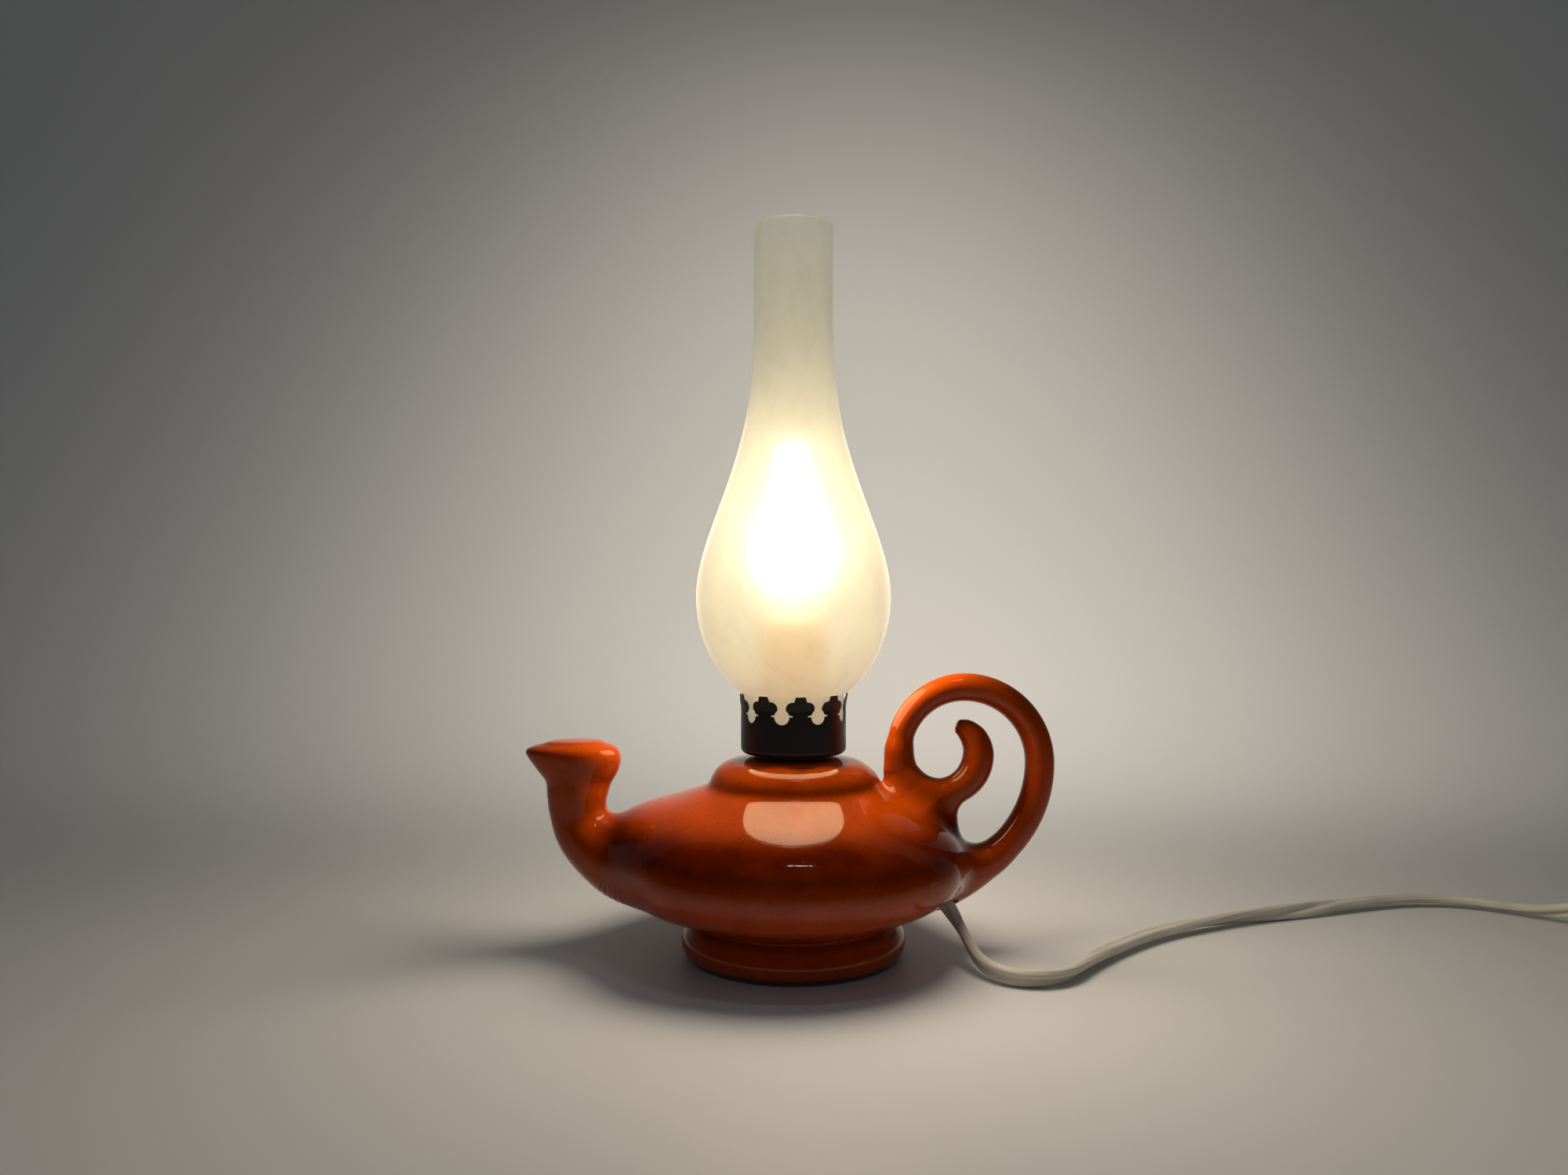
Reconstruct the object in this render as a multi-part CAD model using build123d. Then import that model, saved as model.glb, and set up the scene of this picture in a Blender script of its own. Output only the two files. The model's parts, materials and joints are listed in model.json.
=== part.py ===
"""Electric table lamp in the shape of an oil lamp, with its cord, in-line switch and plug.

Millimetres, +Z up, origin on the lamp's upright axis at table height. The spout points to -X and
the scroll handle to +X. The cord leaves the bowl under the handle and lies on the table.
"""
from build123d import *
import math
import os

# Glazed earthenware bowl
felt_thickness = 1.5
felt_margin = 1.4
foot_opening_radius = 31.0
foot_rest_radius = 43.4
foot_radius = 44.6
foot_bulge_height = 5.0
neck_radius = 37.2
neck_height = 14.0
underside_slope = 24.0
belly_radius = 68.6
belly_height = 36.5
shoulder_slope = 22.5
collar_radius = 33.4
collar_base = 66.4
collar_side_radius = 30.4
collar_side_rise = 7.0
collar_edge_radius = 23.0
collar_edge_rise = 10.2
seat_radius = 17.0
seat_rise = 11.6
bowl_wall = 4.5
crown_wall = 6.0

# Spout, as sections along its bend: centres x and z, headings, and half height and half depth
spout_places = [
    (-46.0, 41.0), (-58.0, 40.9), (-67.5, 39.2), (-77.6, 42.9), (-83.6, 48.9),
    (-86.3, 58.5), (-85.6, 66.5), (-86.9, 73.5), (-88.0, 78.7), (-87.0, 82.6),
]
spout_angles = [180.0, 177.0, 171.0, 156.0, 129.0, 95.0, 90.0, 90.0, 91.0, 92.0]
spout_halves = [
    (16.0, 24.0), (16.2, 21.5), (16.5, 18.5), (13.3, 14.8), (11.4, 12.2),
    (10.6, 10.8), (12.3, 11.4), (16.6, 12.6), (18.1, 13.0), (13.5, 9.0),
]

# Scroll handle, as arcs that follow on from each other
handle_radii = [47.0, 30.0, 26.0, 16.0, 15.6, 11.2]
handle_turn_angles = [86.0, 90.0, 90.0, 90.0, 90.0, 72.0]
handle_outermost = (98.1, 75.4)
handle_flattening = 1.08
# Half thickness of the handle, at angles turned since its root
handle_station_angles = [
    0.0, 10.32, 18.92, 27.52, 43.0, 64.5, 86.0, 115.7, 145.4, 176.0, 205.7,
    235.4, 266.0, 295.7, 325.4, 356.0, 385.7, 415.4, 446.0, 482.0, 518.0,
]
handle_halves = [
    11.6, 9.6, 7.8, 6.7, 6.1, 5.9, 5.8, 5.8, 5.7, 5.6, 5.4,
    5.2, 5.0, 5.1, 5.4, 5.6, 5.7, 5.8, 5.7, 5.2, 3.0,
]
# Clay that joins the scroll to the shoulder: the limb's foot and the saddle under the scroll
limb_foot_places = [(42.1, 79.4), (42.4, 73.0), (45.0, 65.0), (49.5, 57.5)]
limb_foot_angles = [270.0, 272.0, 296.0, 302.0]
limb_foot_halves = [5.0, 5.4, 7.6, 10.0]
saddle_start = (45.0, 65.8)
saddle_end = (61.5, 59.0)
saddle_radius = 5.6

# Cord and the hole it leaves by
cord_diameter = 7.0
cord_play = 0.15
hole_azimuth = -8.0
hole_radius_from_axis = 60.0
hole_tilt = 56.0
bush_wall = 1.2
bush_play = 0.1
bush_recess = 0.6
bush_length = 6.0

# Threaded tube and the hardware that clamps the gallery on the bowl
tube_diameter = 10.0
tube_bore = 8.0
thread_play = 0.05
tube_top_gap = 0.5
tube_hole_play = 0.6
lower_washer_radius = 13.0
lower_washer_thickness = 1.5
lock_washer_radius = 9.0
lock_washer_thickness = 1.0
lock_washer_slit = 1.2
nut_flats = 14.0
lower_nut_height = 4.0
tube_tail = 3.0
end_bush_length = 4.0
end_bush_wall = 1.0
end_bush_lip = 1.0
spacer_radius = 15.6
spacer_thickness = 1.5

# Crown gallery that holds the glass chimney
gallery_radius = 20.9
gallery_sheet = 0.6
gallery_corner = 2.2
gallery_notch_height = 13.0
prong_count = 9
first_prong_angle = -83.0
keyhole_radius = 3.0
lobe_radius = 2.6
lobe_offset = 3.0
lobe_height = 6.1
prong_tip_height = 10.7
prong_tip_base = 4.8
prong_tip_width = 3.4
prong_flare = 0.8
prong_flare_height = 5.5
gallery_nut_height = 3.0

# Frosted glass chimney
chimney_play = 0.4
chimney_wall = 1.7
chimney_waist_height = 22.7
chimney_flare_angle = 32.0
chimney_belly_radius = 38.6
chimney_belly_height = 58.6
chimney_shoulder = (30.9, 93.4)
chimney_throat = (19.3, 130.6)
chimney_top_radius = 15.8
chimney_tube_start = 174.0
chimney_height = 208.2

# Lamp holder for a small screw cap
holder_radius = 13.0
holder_neck_radius = 8.5
holder_neck_height = 6.5
holder_cap_height = 18.0
holder_cap_wall = 2.0
holder_shoulder_height = 4.0
holder_ledge_height = 11.5
holder_ledge_width = 1.6
holder_fit = 0.15
holder_shell_length = 31.0
holder_shell_wall = 1.8
insert_flange_thickness = 2.0
insert_radius = 8.8
insert_height = 7.0
shell_bore = 14.4
shell_sheet = 0.4
shell_height = 17.0
contact_width = 5.0
contact_sheet = 0.5
contact_rise = 1.6
contact_reach = 5.6
grub_diameter = 3.0
grub_length = 3.0
terminal_screw_diameter = 3.0
terminal_screw_head = 4.6
terminal_screw_head_height = 1.8
terminal_screw_depth = 4.0
terminal_screw_offset = 6.3
screw_play = 0.05

# Candle bulb with a small screw cap
bulb_contact_gap = 0.1
bulb_tip_radius = 2.4
bulb_tip_height = 1.2
bulb_insulator_height = 3.0
bulb_insulator_radius = 5.6
bulb_cap_radius = 6.9
bulb_thread_length = 15.5
bulb_skirt_radius = 8.3
bulb_skirt_flare = 2.0
bulb_skirt_length = 5.0
bulb_cap_sheet = 0.4
bulb_glass_play = 0.05
bulb_glass_wall = 0.8
bulb_glass_length = 75.5
bulb_neck_length = 5.0
bulb_radius = 17.4
bulb_widest = 28.0
bulb_taper = (7.4, 62.0)
bulb_stem_radius = 3.0
bulb_stem_length = 16.0
bulb_wire_diameter = 0.8
bulb_wire_length = 12.0
bulb_wire_spacing = 3.4
bulb_filament_diameter = 0.6
bulb_filament_rise = 5.0

# Cord on the table from the bowl to the switch, chosen to lie as the photograph shows it
cord_run_points = [
    (66.2, -19.5, 10.8),
    (68.2, -27.6, 6.8),
    (71.5, -35.6, 4.6),
    (79.5, -42.5, 3.5),
    (91.0, -43.5, 3.5),
    (101.5, -37.5, 3.5),
    (110.5, -24.0, 3.5),
    (127.0, -5.0, 3.5),
    (152.0, 17.5, 3.5),
    (189.0, 36.5, 3.5),
    (221.0, 46.5, 3.5),
    (250.0, 59.0, 3.5),
    (278.0, 67.2, 3.5),
    (302.0, 65.0, 3.5),
    (319.0, 52.0, 3.5),
    (329.5, 38.5, 5.0),
]
cord_exit_run = 8.5
cord_straight = 10.0
# Cord inside the bowl, from the hole to the threaded tube
cord_inner_points = [(42.0, -5.1, 35.5), (26.0, -3.2, 39.5), (8.6, -1.0, 45.0)]
cord_inner_first_run = 10.0
cord_inner_rise = 8.0

# In-line switch
switch_centre = (367.0, 0.0)
switch_heading = -45.0
switch_length = 62.0
switch_width = 24.0
switch_height = 19.0
switch_corner = 10.0
switch_edge = 2.0
switch_wall = 2.0
cord_tuck = 6.0
rocker_width = 8.6
rocker_reach = 10.4
rocker_pivot_drop = 3.0
rocker_crown = 4.0
rocker_lift = 0.9
rocker_belly = 2.5
rocker_play = 0.3
rocker_tilt = 9.0
rocker_post = 6.0
rocker_post_depth = 7.0
pin_diameter = 2.0
pin_play = 0.04
pin_boss_wall = 1.6
pin_boss_length = 3.4
pin_boss_gap = 0.4
plunger_diameter = 3.0
plunger_play = 0.1
plunger_length = 4.6
plunger_reach = 2.2
bridge_length = 16.0
bridge_width = 4.0
bridge_sheet = 0.6
bridge_gap = 0.4
bridge_tilt = 6.0
bridge_rest_gap = 0.2
bar_width = 5.0
bar_thickness = 2.0
bar_reach = 20.0
bar_offset = -7.0
contact_pad_radius = 1.5
contact_pad_place = 7.0
knife_thickness = 0.8
switch_terminal_place = 17.0
switch_terminal_diameter = 2.6
switch_terminal_head = 4.0
switch_terminal_head_height = 1.4
case_screw_place = (24.0, 7.2)
case_screw_diameter = 2.6
case_screw_head = 4.6
case_screw_head_height = 1.6
case_screw_top = 14.0
case_boss_wall = 1.4

# Put-away length of cord
coil_centre = (362.0, -75.0)
coil_radius = 45.0
coil_gap = 0.6
coil_half_turns_in = 5
coil_half_turns_out = 4
coil_last_turn = 105.0
coil_start_angle = 15.0
tie_sheet = 0.8
tie_width = 6.0
tie_play = 0.4

# Flat two-pin plug
plug_face_width = 35.0
plug_face_height = 13.7
plug_block_length = 17.0
plug_taper_length = 19.0
plug_rear_width = 12.0
plug_rear_height = 11.0
plug_corner = 6.0
plug_rear_corner = 4.5
plug_distance = 46.0
pin_spacing = 18.6
plug_pin_radius = 2.0
plug_pin_core = 1.2
plug_pin_sleeve = 1.7
plug_pin_length = 19.0
plug_sleeve_length = 10.0
plug_pin_root = 8.0

BASE = (Align.CENTER, Align.CENTER, Align.MIN)

# Heights on the lamp's axis that follow from the sizes above
collar_side_height = collar_base + collar_side_rise
collar_edge_height = collar_base + collar_edge_rise
seat_height = collar_base + seat_rise
gallery_base = seat_height + spacer_thickness
gallery_floor = gallery_base + gallery_sheet
holder_base = gallery_floor + gallery_nut_height
tube_top = holder_base + holder_neck_height - tube_top_gap
under_crown = seat_height - crown_wall
lower_nut_top = under_crown - lower_washer_thickness - lock_washer_thickness
tube_bottom = lower_nut_top - lower_nut_height - tube_tail
insert_base = holder_base + holder_ledge_height
insert_top = insert_base + insert_flange_thickness + insert_height
bulb_base = insert_top + contact_sheet + contact_rise + bulb_contact_gap
bulb_cap_base = bulb_base + bulb_tip_height + bulb_insulator_height
bulb_glass_base = bulb_cap_base + bulb_thread_length + bulb_skirt_flare
cord_radius = cord_diameter / 2
tube_radius = tube_diameter / 2
cord_bore = cord_radius + cord_play


def heading(angle):
    """Unit vector in a plane, at an angle in degrees from its first axis."""
    return (math.cos(math.radians(angle)), math.sin(math.radians(angle)))


def ring(outer, inner, height):
    """Flat ring standing on its lower face."""
    return extrude(Circle(outer) - Circle(inner), height)


def hexagon_nut(flats, bore, height):
    """Hexagon nut with chamfered faces and a plain bore."""
    blank = extrude(RegularPolygon(flats / 2, 6, major_radius=False), height)
    crown = Cylinder(flats * 0.56, height, align=BASE)
    crown = chamfer(crown.edges().filter_by(GeomType.CIRCLE), flats * 0.05)
    return blank & crown - Cylinder(bore, height, align=BASE)


def inset(curve, distance, count=10):
    """Curve that lies to the left of another one at a steady distance."""
    points = []
    for step in range(count + 1):
        place = curve @ (step / count)
        along = curve % (step / count)
        points.append((place.X - along.Y * distance, place.Y + along.X * distance))
    return Spline(*points)


def turned(edges):
    """Solid of revolution about the lamp's axis, from a closed outline in radius and height."""
    return revolve(Plane.YZ * make_face(edges), Axis.Z)


def closed_outline(curves):
    """Closed outline of curves that meet end to end in either sense, with gaps bridged by lines."""
    edges = []
    here = curves[0] @ 0
    for curve in curves:
        start, finish = curve @ 0, curve @ 1
        if (here - finish).length < (here - start).length:
            start, finish = finish, start
        if (here - start).length > 1e-6:
            edges.append(Line(here, start))
        edges.append(curve)
        here = finish
    if (here - curves[0] @ 0).length > 1e-6:
        edges.append(Line(here, curves[0] @ 0))
    return edges


def upright_ellipse(x, z, angle, half_height, half_depth):
    """Elliptical section square to a heading in the XZ plane."""
    along = heading(angle)
    plane = Plane(origin=(x, 0, z), x_dir=(0, 1, 0), z_dir=(along[0], 0, along[1]))
    return plane * Ellipse(half_depth, half_height)


def handle_place(turned):
    """Centre x, centre z and heading where the handle has turned by an angle since its root."""
    x = handle_outermost[0] - handle_radii[0]
    z = handle_outermost[1]
    arc = 0
    arc_end = 0.0
    while turned > arc_end + handle_turn_angles[arc] + 0.01:
        arc_end += handle_turn_angles[arc]
        step = handle_radii[arc] - handle_radii[arc + 1]
        x += step * heading(arc_end - handle_turn_angles[0])[0]
        z += step * heading(arc_end - handle_turn_angles[0])[1]
        arc += 1
    angle = turned - handle_turn_angles[0]
    radius = handle_radii[arc]
    return (x + radius * heading(angle)[0], z + radius * heading(angle)[1], angle + 90)


def bowl_curves():
    """Outer profile of the bowl, from the foot to the seat of the gallery."""
    foot = ThreePointArc((foot_rest_radius, felt_thickness), (foot_radius, foot_bulge_height),
                         (neck_radius, neck_height))
    lower = Spline((neck_radius, neck_height), (belly_radius, belly_height),
                   tangents=[heading(underside_slope), (0, 1)])
    upper = Spline((belly_radius, belly_height), (collar_radius, collar_base),
                   tangents=[(0, 1), heading(180 - shoulder_slope)])
    collar = ThreePointArc((collar_radius, collar_base), (collar_side_radius, collar_side_height),
                           (collar_edge_radius, collar_edge_height))
    dome = Line((collar_edge_radius, collar_edge_height), (seat_radius, seat_height))
    return foot, lower, upper, collar, dome


def hole_frame():
    """Point and outward direction of the cord hole on the bowl's underside."""
    lower = bowl_curves()[1]
    share = 0.5
    for step in (0.25, 0.125, 0.0625, 0.03125, 0.015625, 0.0078125):
        share += step if (lower @ share).X < hole_radius_from_axis else -step
    place = lower @ share
    around = heading(hole_azimuth)
    out = heading(-hole_tilt)
    point = Vector(place.X * around[0], place.X * around[1], place.Y)
    direction = Vector(out[0] * around[0], out[0] * around[1], out[1])
    return point, direction


def ceramic_body():
    """Slip-cast bowl with spout and scroll handle in one piece, hollow, open at the foot."""
    foot, lower, upper, collar, dome = bowl_curves()
    axis = Line((0, seat_height), (0, felt_thickness))
    bowl = turned(closed_outline([foot, lower, upper, collar, dome, axis]))
    spout = loft([upright_ellipse(*place, angle, *halves)
                  for place, angle, halves in zip(spout_places, spout_angles, spout_halves)])
    handle = loft([upright_ellipse(*handle_place(turned), half, half * handle_flattening)
                   for turned, half in zip(handle_station_angles, handle_halves)])
    tip_x, tip_z, _ = handle_place(handle_station_angles[-1])
    tip = Pos(tip_x, 0, tip_z) * Sphere(handle_halves[-1])
    foot_of_limb = loft([upright_ellipse(*place, angle, half, half * handle_flattening)
                         for place, angle, half in zip(limb_foot_places, limb_foot_angles, limb_foot_halves)])
    start = Vector(saddle_start[0], 0, saddle_start[1])
    end = Vector(saddle_end[0], 0, saddle_end[1])
    saddle = Plane(origin=start, x_dir=(0, 1, 0), z_dir=end - start) * Cylinder(
        saddle_radius, (end - start).length, align=BASE)
    saddle += Pos(*end) * Sphere(saddle_radius)
    body = bowl + spout + handle + tip + foot_of_limb + saddle

    inner_upper = inset(upper, bowl_wall)
    inner_lower = inset(lower, bowl_wall)
    mouth = Line((foot_opening_radius, felt_thickness), (foot_opening_radius, neck_height))
    ceiling = Line((seat_radius, under_crown), (0, under_crown))
    axis = Line((0, under_crown), (0, felt_thickness))
    hollow = turned(closed_outline([mouth, inner_lower, inner_upper, ceiling, axis]))
    body -= hollow
    body -= Pos(0, 0, under_crown) * Cylinder(tube_radius + tube_hole_play, crown_wall, align=BASE)
    point, direction = hole_frame()
    bore = cord_bore + bush_wall + bush_play
    body -= Plane(origin=point, z_dir=direction) * Cylinder(bore, 4 * bowl_wall)
    return body


def felt_pad():
    """Felt disc glued under the foot, which closes the hollow bowl."""
    return Cylinder(foot_rest_radius - felt_margin, felt_thickness, align=BASE)


def cord_bush():
    """Plain sleeve in the cord hole, a little below the glaze."""
    point, direction = hole_frame()
    plane = Plane(origin=point - direction * (bush_recess + bush_length), z_dir=direction)
    return plane * ring(cord_bore + bush_wall, cord_bore, bush_length)


def threaded_tube():
    """Brass tube that clamps gallery and bowl and leads the cord up."""
    tube = ring(tube_radius, tube_bore / 2, tube_top - tube_bottom)
    return Pos(0, 0, tube_bottom) * tube


def tube_end_bush():
    """Plastic bush over the tube's lower end, so that its edge can't cut the cord."""
    outer = tube_radius + thread_play + end_bush_wall
    cup = Cylinder(outer, end_bush_length, align=BASE)
    cup -= Pos(0, 0, end_bush_lip) * Cylinder(tube_radius + thread_play, end_bush_length, align=BASE)
    cup -= Cylinder(tube_bore / 2, end_bush_length, align=BASE)
    return Pos(0, 0, tube_bottom - end_bush_lip) * cup


def lower_washer():
    """Steel washer under the crown of the bowl."""
    washer = ring(lower_washer_radius, tube_radius + thread_play, lower_washer_thickness)
    return Pos(0, 0, under_crown - lower_washer_thickness) * washer


def lock_washer():
    """Split spring washer over the lower nut."""
    washer = ring(lock_washer_radius, tube_radius + thread_play, lock_washer_thickness)
    slit = Box(lock_washer_radius, lock_washer_slit, lock_washer_thickness,
               align=(Align.MIN, Align.CENTER, Align.MIN))
    return Pos(0, 0, lower_nut_top) * (washer - slit)


def lower_locknut():
    """Hexagon nut that pulls the tube down."""
    nut = hexagon_nut(nut_flats, tube_radius + thread_play, lower_nut_height)
    return Pos(0, 0, lower_nut_top - lower_nut_height) * nut


def gallery_spacer():
    """Dark fibre ring between glaze and gallery."""
    return Pos(0, 0, seat_height) * ring(spacer_radius, tube_radius + thread_play, spacer_thickness)


def prong_gap():
    """Outline of the gap between two prongs: a keyhole with scalloped sides, open at the top."""
    half_pitch = math.pi * gallery_radius / prong_count
    lobe_place = half_pitch - lobe_offset
    lobe_top = lobe_height + lobe_radius
    clear = prong_tip_height + prong_flare_height
    mouth = half_pitch - prong_tip_base / 2
    rim = mouth + (prong_tip_base - prong_tip_width) / 2 * (clear - lobe_top) / (prong_tip_height - lobe_top)
    throat = Pos(0, (keyhole_radius + lobe_top) / 2) * Rectangle(2 * lobe_place, lobe_top - keyhole_radius)
    for side in (-1, 1):
        throat -= Pos(side * lobe_place, lobe_height) * Circle(lobe_radius)
    top = make_face(Polyline((-mouth, lobe_top), (mouth, lobe_top), (rim, clear), (-rim, clear), close=True))
    return Pos(0, keyhole_radius) * Circle(keyhole_radius) + throat + top


def gallery():
    """Sheet-metal cup whose wall is cut into a crown of scalloped prongs."""
    top = gallery_notch_height + prong_tip_height
    flare_from = top - prong_flare_height
    outer_corner = RadiusArc((gallery_radius - gallery_corner, 0), (gallery_radius, gallery_corner),
                             -gallery_corner)
    outer_wall = Polyline((gallery_radius, gallery_corner), (gallery_radius, flare_from),
                          (gallery_radius + prong_flare, top))
    inner_radius = gallery_radius - gallery_sheet
    inner_wall = Polyline((inner_radius + prong_flare, top), (inner_radius, flare_from),
                          (inner_radius, gallery_corner))
    inner_corner = RadiusArc((inner_radius, gallery_corner), (gallery_radius - gallery_corner, gallery_sheet),
                             gallery_corner - gallery_sheet)
    bore = Line((tube_radius + thread_play, gallery_sheet), (tube_radius + thread_play, 0))
    cup = turned(closed_outline([outer_corner, outer_wall, inner_wall, inner_corner, bore]))
    gap = prong_gap()
    half_step = 180 / prong_count
    for number in range(prong_count):
        radial = heading(first_prong_angle + half_step + number * 2 * half_step)
        plane = Plane(origin=(0, 0, gallery_notch_height), x_dir=(-radial[1], radial[0], 0),
                      z_dir=(radial[0], radial[1], 0))
        cup -= plane * Pos(0, 0, gallery_radius / 2) * extrude(gap, gallery_radius)
    return Pos(0, 0, gallery_base) * cup


def gallery_nut():
    """Thin hexagon nut on the gallery's floor."""
    nut = hexagon_nut(nut_flats, tube_radius + thread_play, gallery_nut_height)
    return Pos(0, 0, gallery_floor) * nut


def chimney():
    """Frosted glass chimney: straight base, round belly, long tube."""
    base_radius = gallery_radius - gallery_sheet - chimney_play
    edge = gallery_corner - gallery_sheet - chimney_play
    edge_arc = RadiusArc((base_radius - edge, 0), (base_radius, edge), -edge)
    base = Line((base_radius, edge), (base_radius, chimney_waist_height))
    belly = Spline((base_radius, chimney_waist_height), (chimney_belly_radius, chimney_belly_height),
                   tangents=[heading(chimney_flare_angle), (0, 1)])
    shoulder = Spline((chimney_belly_radius, chimney_belly_height), chimney_shoulder, chimney_throat,
                      (chimney_top_radius, chimney_tube_start), tangents=[(0, 1), (0, 1)])
    tube = Line((chimney_top_radius, chimney_tube_start), (chimney_top_radius, chimney_height))
    inner_radius = base_radius - chimney_wall
    inner_base = Line((inner_radius, chimney_waist_height + chimney_wall / 2), (inner_radius, 0))
    inner_belly = inset(belly, chimney_wall)
    inner_shoulder = inset(shoulder, chimney_wall)
    top_inner = (chimney_top_radius - chimney_wall, chimney_height)
    rim = RadiusArc((chimney_top_radius, chimney_height), top_inner, -chimney_wall / 2)
    inside = Polyline(top_inner, inner_shoulder @ 1)
    outline = [edge_arc, base, belly, shoulder, tube, rim, inside, inner_shoulder, inner_belly, inner_base]
    return Pos(0, 0, gallery_floor) * turned(closed_outline(outline))


def holder_cap():
    """Cup-shaped lower half of the lamp holder, with the neck that screws on the tube."""
    bore = tube_radius + thread_play
    inner = holder_radius - holder_cap_wall
    ledge = inner - holder_ledge_width
    floor = holder_neck_height + holder_cap_wall
    neck = Polyline((bore, 0), (holder_neck_radius, 0), (holder_neck_radius, holder_neck_height))
    dome = RadiusArc((holder_neck_radius, holder_neck_height),
                     (holder_radius, holder_neck_height + holder_shoulder_height), -holder_shoulder_height * 1.2)
    inside = Polyline((holder_radius, holder_cap_height), (inner, holder_cap_height),
                      (inner, holder_ledge_height), (ledge, holder_ledge_height), (ledge, floor), (bore, floor))
    cap = turned(closed_outline([neck, dome, inside]))
    return Pos(0, 0, holder_base) * (cap - grub_hole())


def grub_hole():
    """Radial hole for the grub screw in the holder's neck."""
    plane = Plane(origin=(tube_radius, 0, holder_neck_height / 2), z_dir=(1, 0, 0))
    return plane * Cylinder(grub_diameter / 2 + screw_play, holder_neck_radius, align=BASE)


def holder_grub_screw():
    """Grub screw that locks the holder on the tube."""
    plane = Plane(origin=(tube_radius + thread_play, 0, holder_base + holder_neck_height / 2), z_dir=(1, 0, 0))
    return plane * Cylinder(grub_diameter / 2, grub_length, align=BASE)


def holder_shell():
    """Upper half of the lamp holder: a smooth sleeve whose spigot goes into the cap."""
    spigot = holder_radius - holder_cap_wall - holder_fit
    throat = insert_radius + holder_fit
    inner = holder_radius - holder_shell_wall
    foot = holder_ledge_height + insert_flange_thickness
    top = holder_cap_height + holder_shell_length
    step = holder_cap_height + holder_shell_wall
    outline = Polyline((throat, foot), (spigot, foot), (spigot, holder_cap_height),
                       (holder_radius, holder_cap_height), (holder_radius, top), (inner, top),
                       (inner, step + holder_shell_wall), (throat, step), close=True)
    sleeve = turned(outline.edges())
    rim = sleeve.edges().filter_by(GeomType.CIRCLE).group_by(Axis.Z)[-1]
    return Pos(0, 0, holder_base) * fillet(rim, holder_shell_wall / 3)


def terminal_places():
    """Places of the holder's two terminal screws."""
    return [(terminal_screw_offset, 0), (-terminal_screw_offset, 0)]


def holder_insert():
    """Heat-proof core that carries the contacts, clamped between cap and shell."""
    flange = Cylinder(holder_radius - holder_cap_wall - holder_fit, insert_flange_thickness, align=BASE)
    core = flange + Cylinder(insert_radius, insert_flange_thickness + insert_height, align=BASE)
    for x, y in terminal_places():
        core -= Pos(x, y, 0) * Cylinder(terminal_screw_diameter / 2 + screw_play, terminal_screw_depth, align=BASE)
    return Pos(0, 0, insert_base) * core


def holder_terminal_screws():
    """Two terminal screws under the core."""
    screws = []
    for x, y in terminal_places():
        shank = Cylinder(terminal_screw_diameter / 2, terminal_screw_depth - screw_play, align=BASE)
        head = Pos(0, 0, -terminal_screw_head_height) * Cylinder(
            terminal_screw_head / 2, terminal_screw_head_height, align=BASE)
        screws.append(Pos(x, y, insert_base) * (shank + head))
    return Compound(children=screws)


def holder_centre_contact():
    """Bent brass tongue that meets the bulb's tip."""
    lower = [(-contact_reach, 0), (-contact_reach / 2, 0), (-contact_reach / 4, contact_rise),
             (contact_reach / 4, contact_rise), (contact_reach / 2, contact_rise / 2)]
    upper = [(x, z + contact_sheet) for x, z in reversed(lower)]
    strip = extrude(Plane.XZ * make_face(Polyline(*lower, *upper, close=True)), contact_width / 2, both=True)
    return Pos(0, 0, insert_top) * strip


def holder_screw_shell():
    """Brass sleeve that takes the bulb's cap."""
    return Pos(0, 0, insert_top) * ring(shell_bore / 2 + shell_sheet, shell_bore / 2, shell_height)


def bulb_tip_contact():
    """Solder contact at the bottom of the bulb."""
    button = Cylinder(bulb_tip_radius, bulb_tip_height, align=BASE)
    button = fillet(button.edges().group_by(Axis.Z)[0], bulb_tip_height / 2)
    return Pos(0, 0, bulb_base) * button


def bulb_insulator():
    """Glass insulator between tip and cap, with a plug inside the cap."""
    plug_radius = bulb_cap_radius - bulb_cap_sheet - bulb_glass_play
    cone = Cone(bulb_tip_radius, bulb_insulator_radius, bulb_insulator_height, align=BASE)
    plug = Pos(0, 0, bulb_insulator_height) * Cylinder(plug_radius, bulb_skirt_flare, align=BASE)
    return Pos(0, 0, bulb_base + bulb_tip_height) * (cone + plug)


def bulb_cap():
    """Sheet-metal screw cap with a wider skirt for the glass."""
    skirt = bulb_thread_length + bulb_skirt_flare
    top = bulb_thread_length + bulb_skirt_length
    outer = [(bulb_cap_radius, 0), (bulb_cap_radius, bulb_thread_length), (bulb_skirt_radius, skirt),
             (bulb_skirt_radius, top)]
    inner = [(radius - bulb_cap_sheet, height) for radius, height in reversed(outer)]
    return Pos(0, 0, bulb_cap_base) * turned(Polyline(*outer, *inner, close=True).edges())


def bulb_glass():
    """Candle-shaped glass envelope, open at the neck where the stem seals it."""
    glass_neck = bulb_skirt_radius - bulb_cap_sheet - bulb_glass_play
    neck = Line((glass_neck, 0), (glass_neck, bulb_neck_length))
    swell = Spline(neck @ 1, (bulb_radius, bulb_widest), tangents=[(0, 1), (0, 1)])
    crown = Spline((bulb_radius, bulb_widest), bulb_taper, (0, bulb_glass_length), tangents=[(0, 1), (-1, 0)])
    inner_radius = glass_neck - bulb_glass_wall
    inner_neck = Line((inner_radius, bulb_neck_length), (inner_radius, 0))
    inner_swell = inset(swell, bulb_glass_wall)
    inner_crown = inset(crown, bulb_glass_wall)
    axis = Line(crown @ 1, (0, bulb_glass_length - bulb_glass_wall))
    outline = [neck, swell, crown, axis, inner_crown, inner_swell, inner_neck]
    return Pos(0, 0, bulb_glass_base) * turned(closed_outline(outline))


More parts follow.
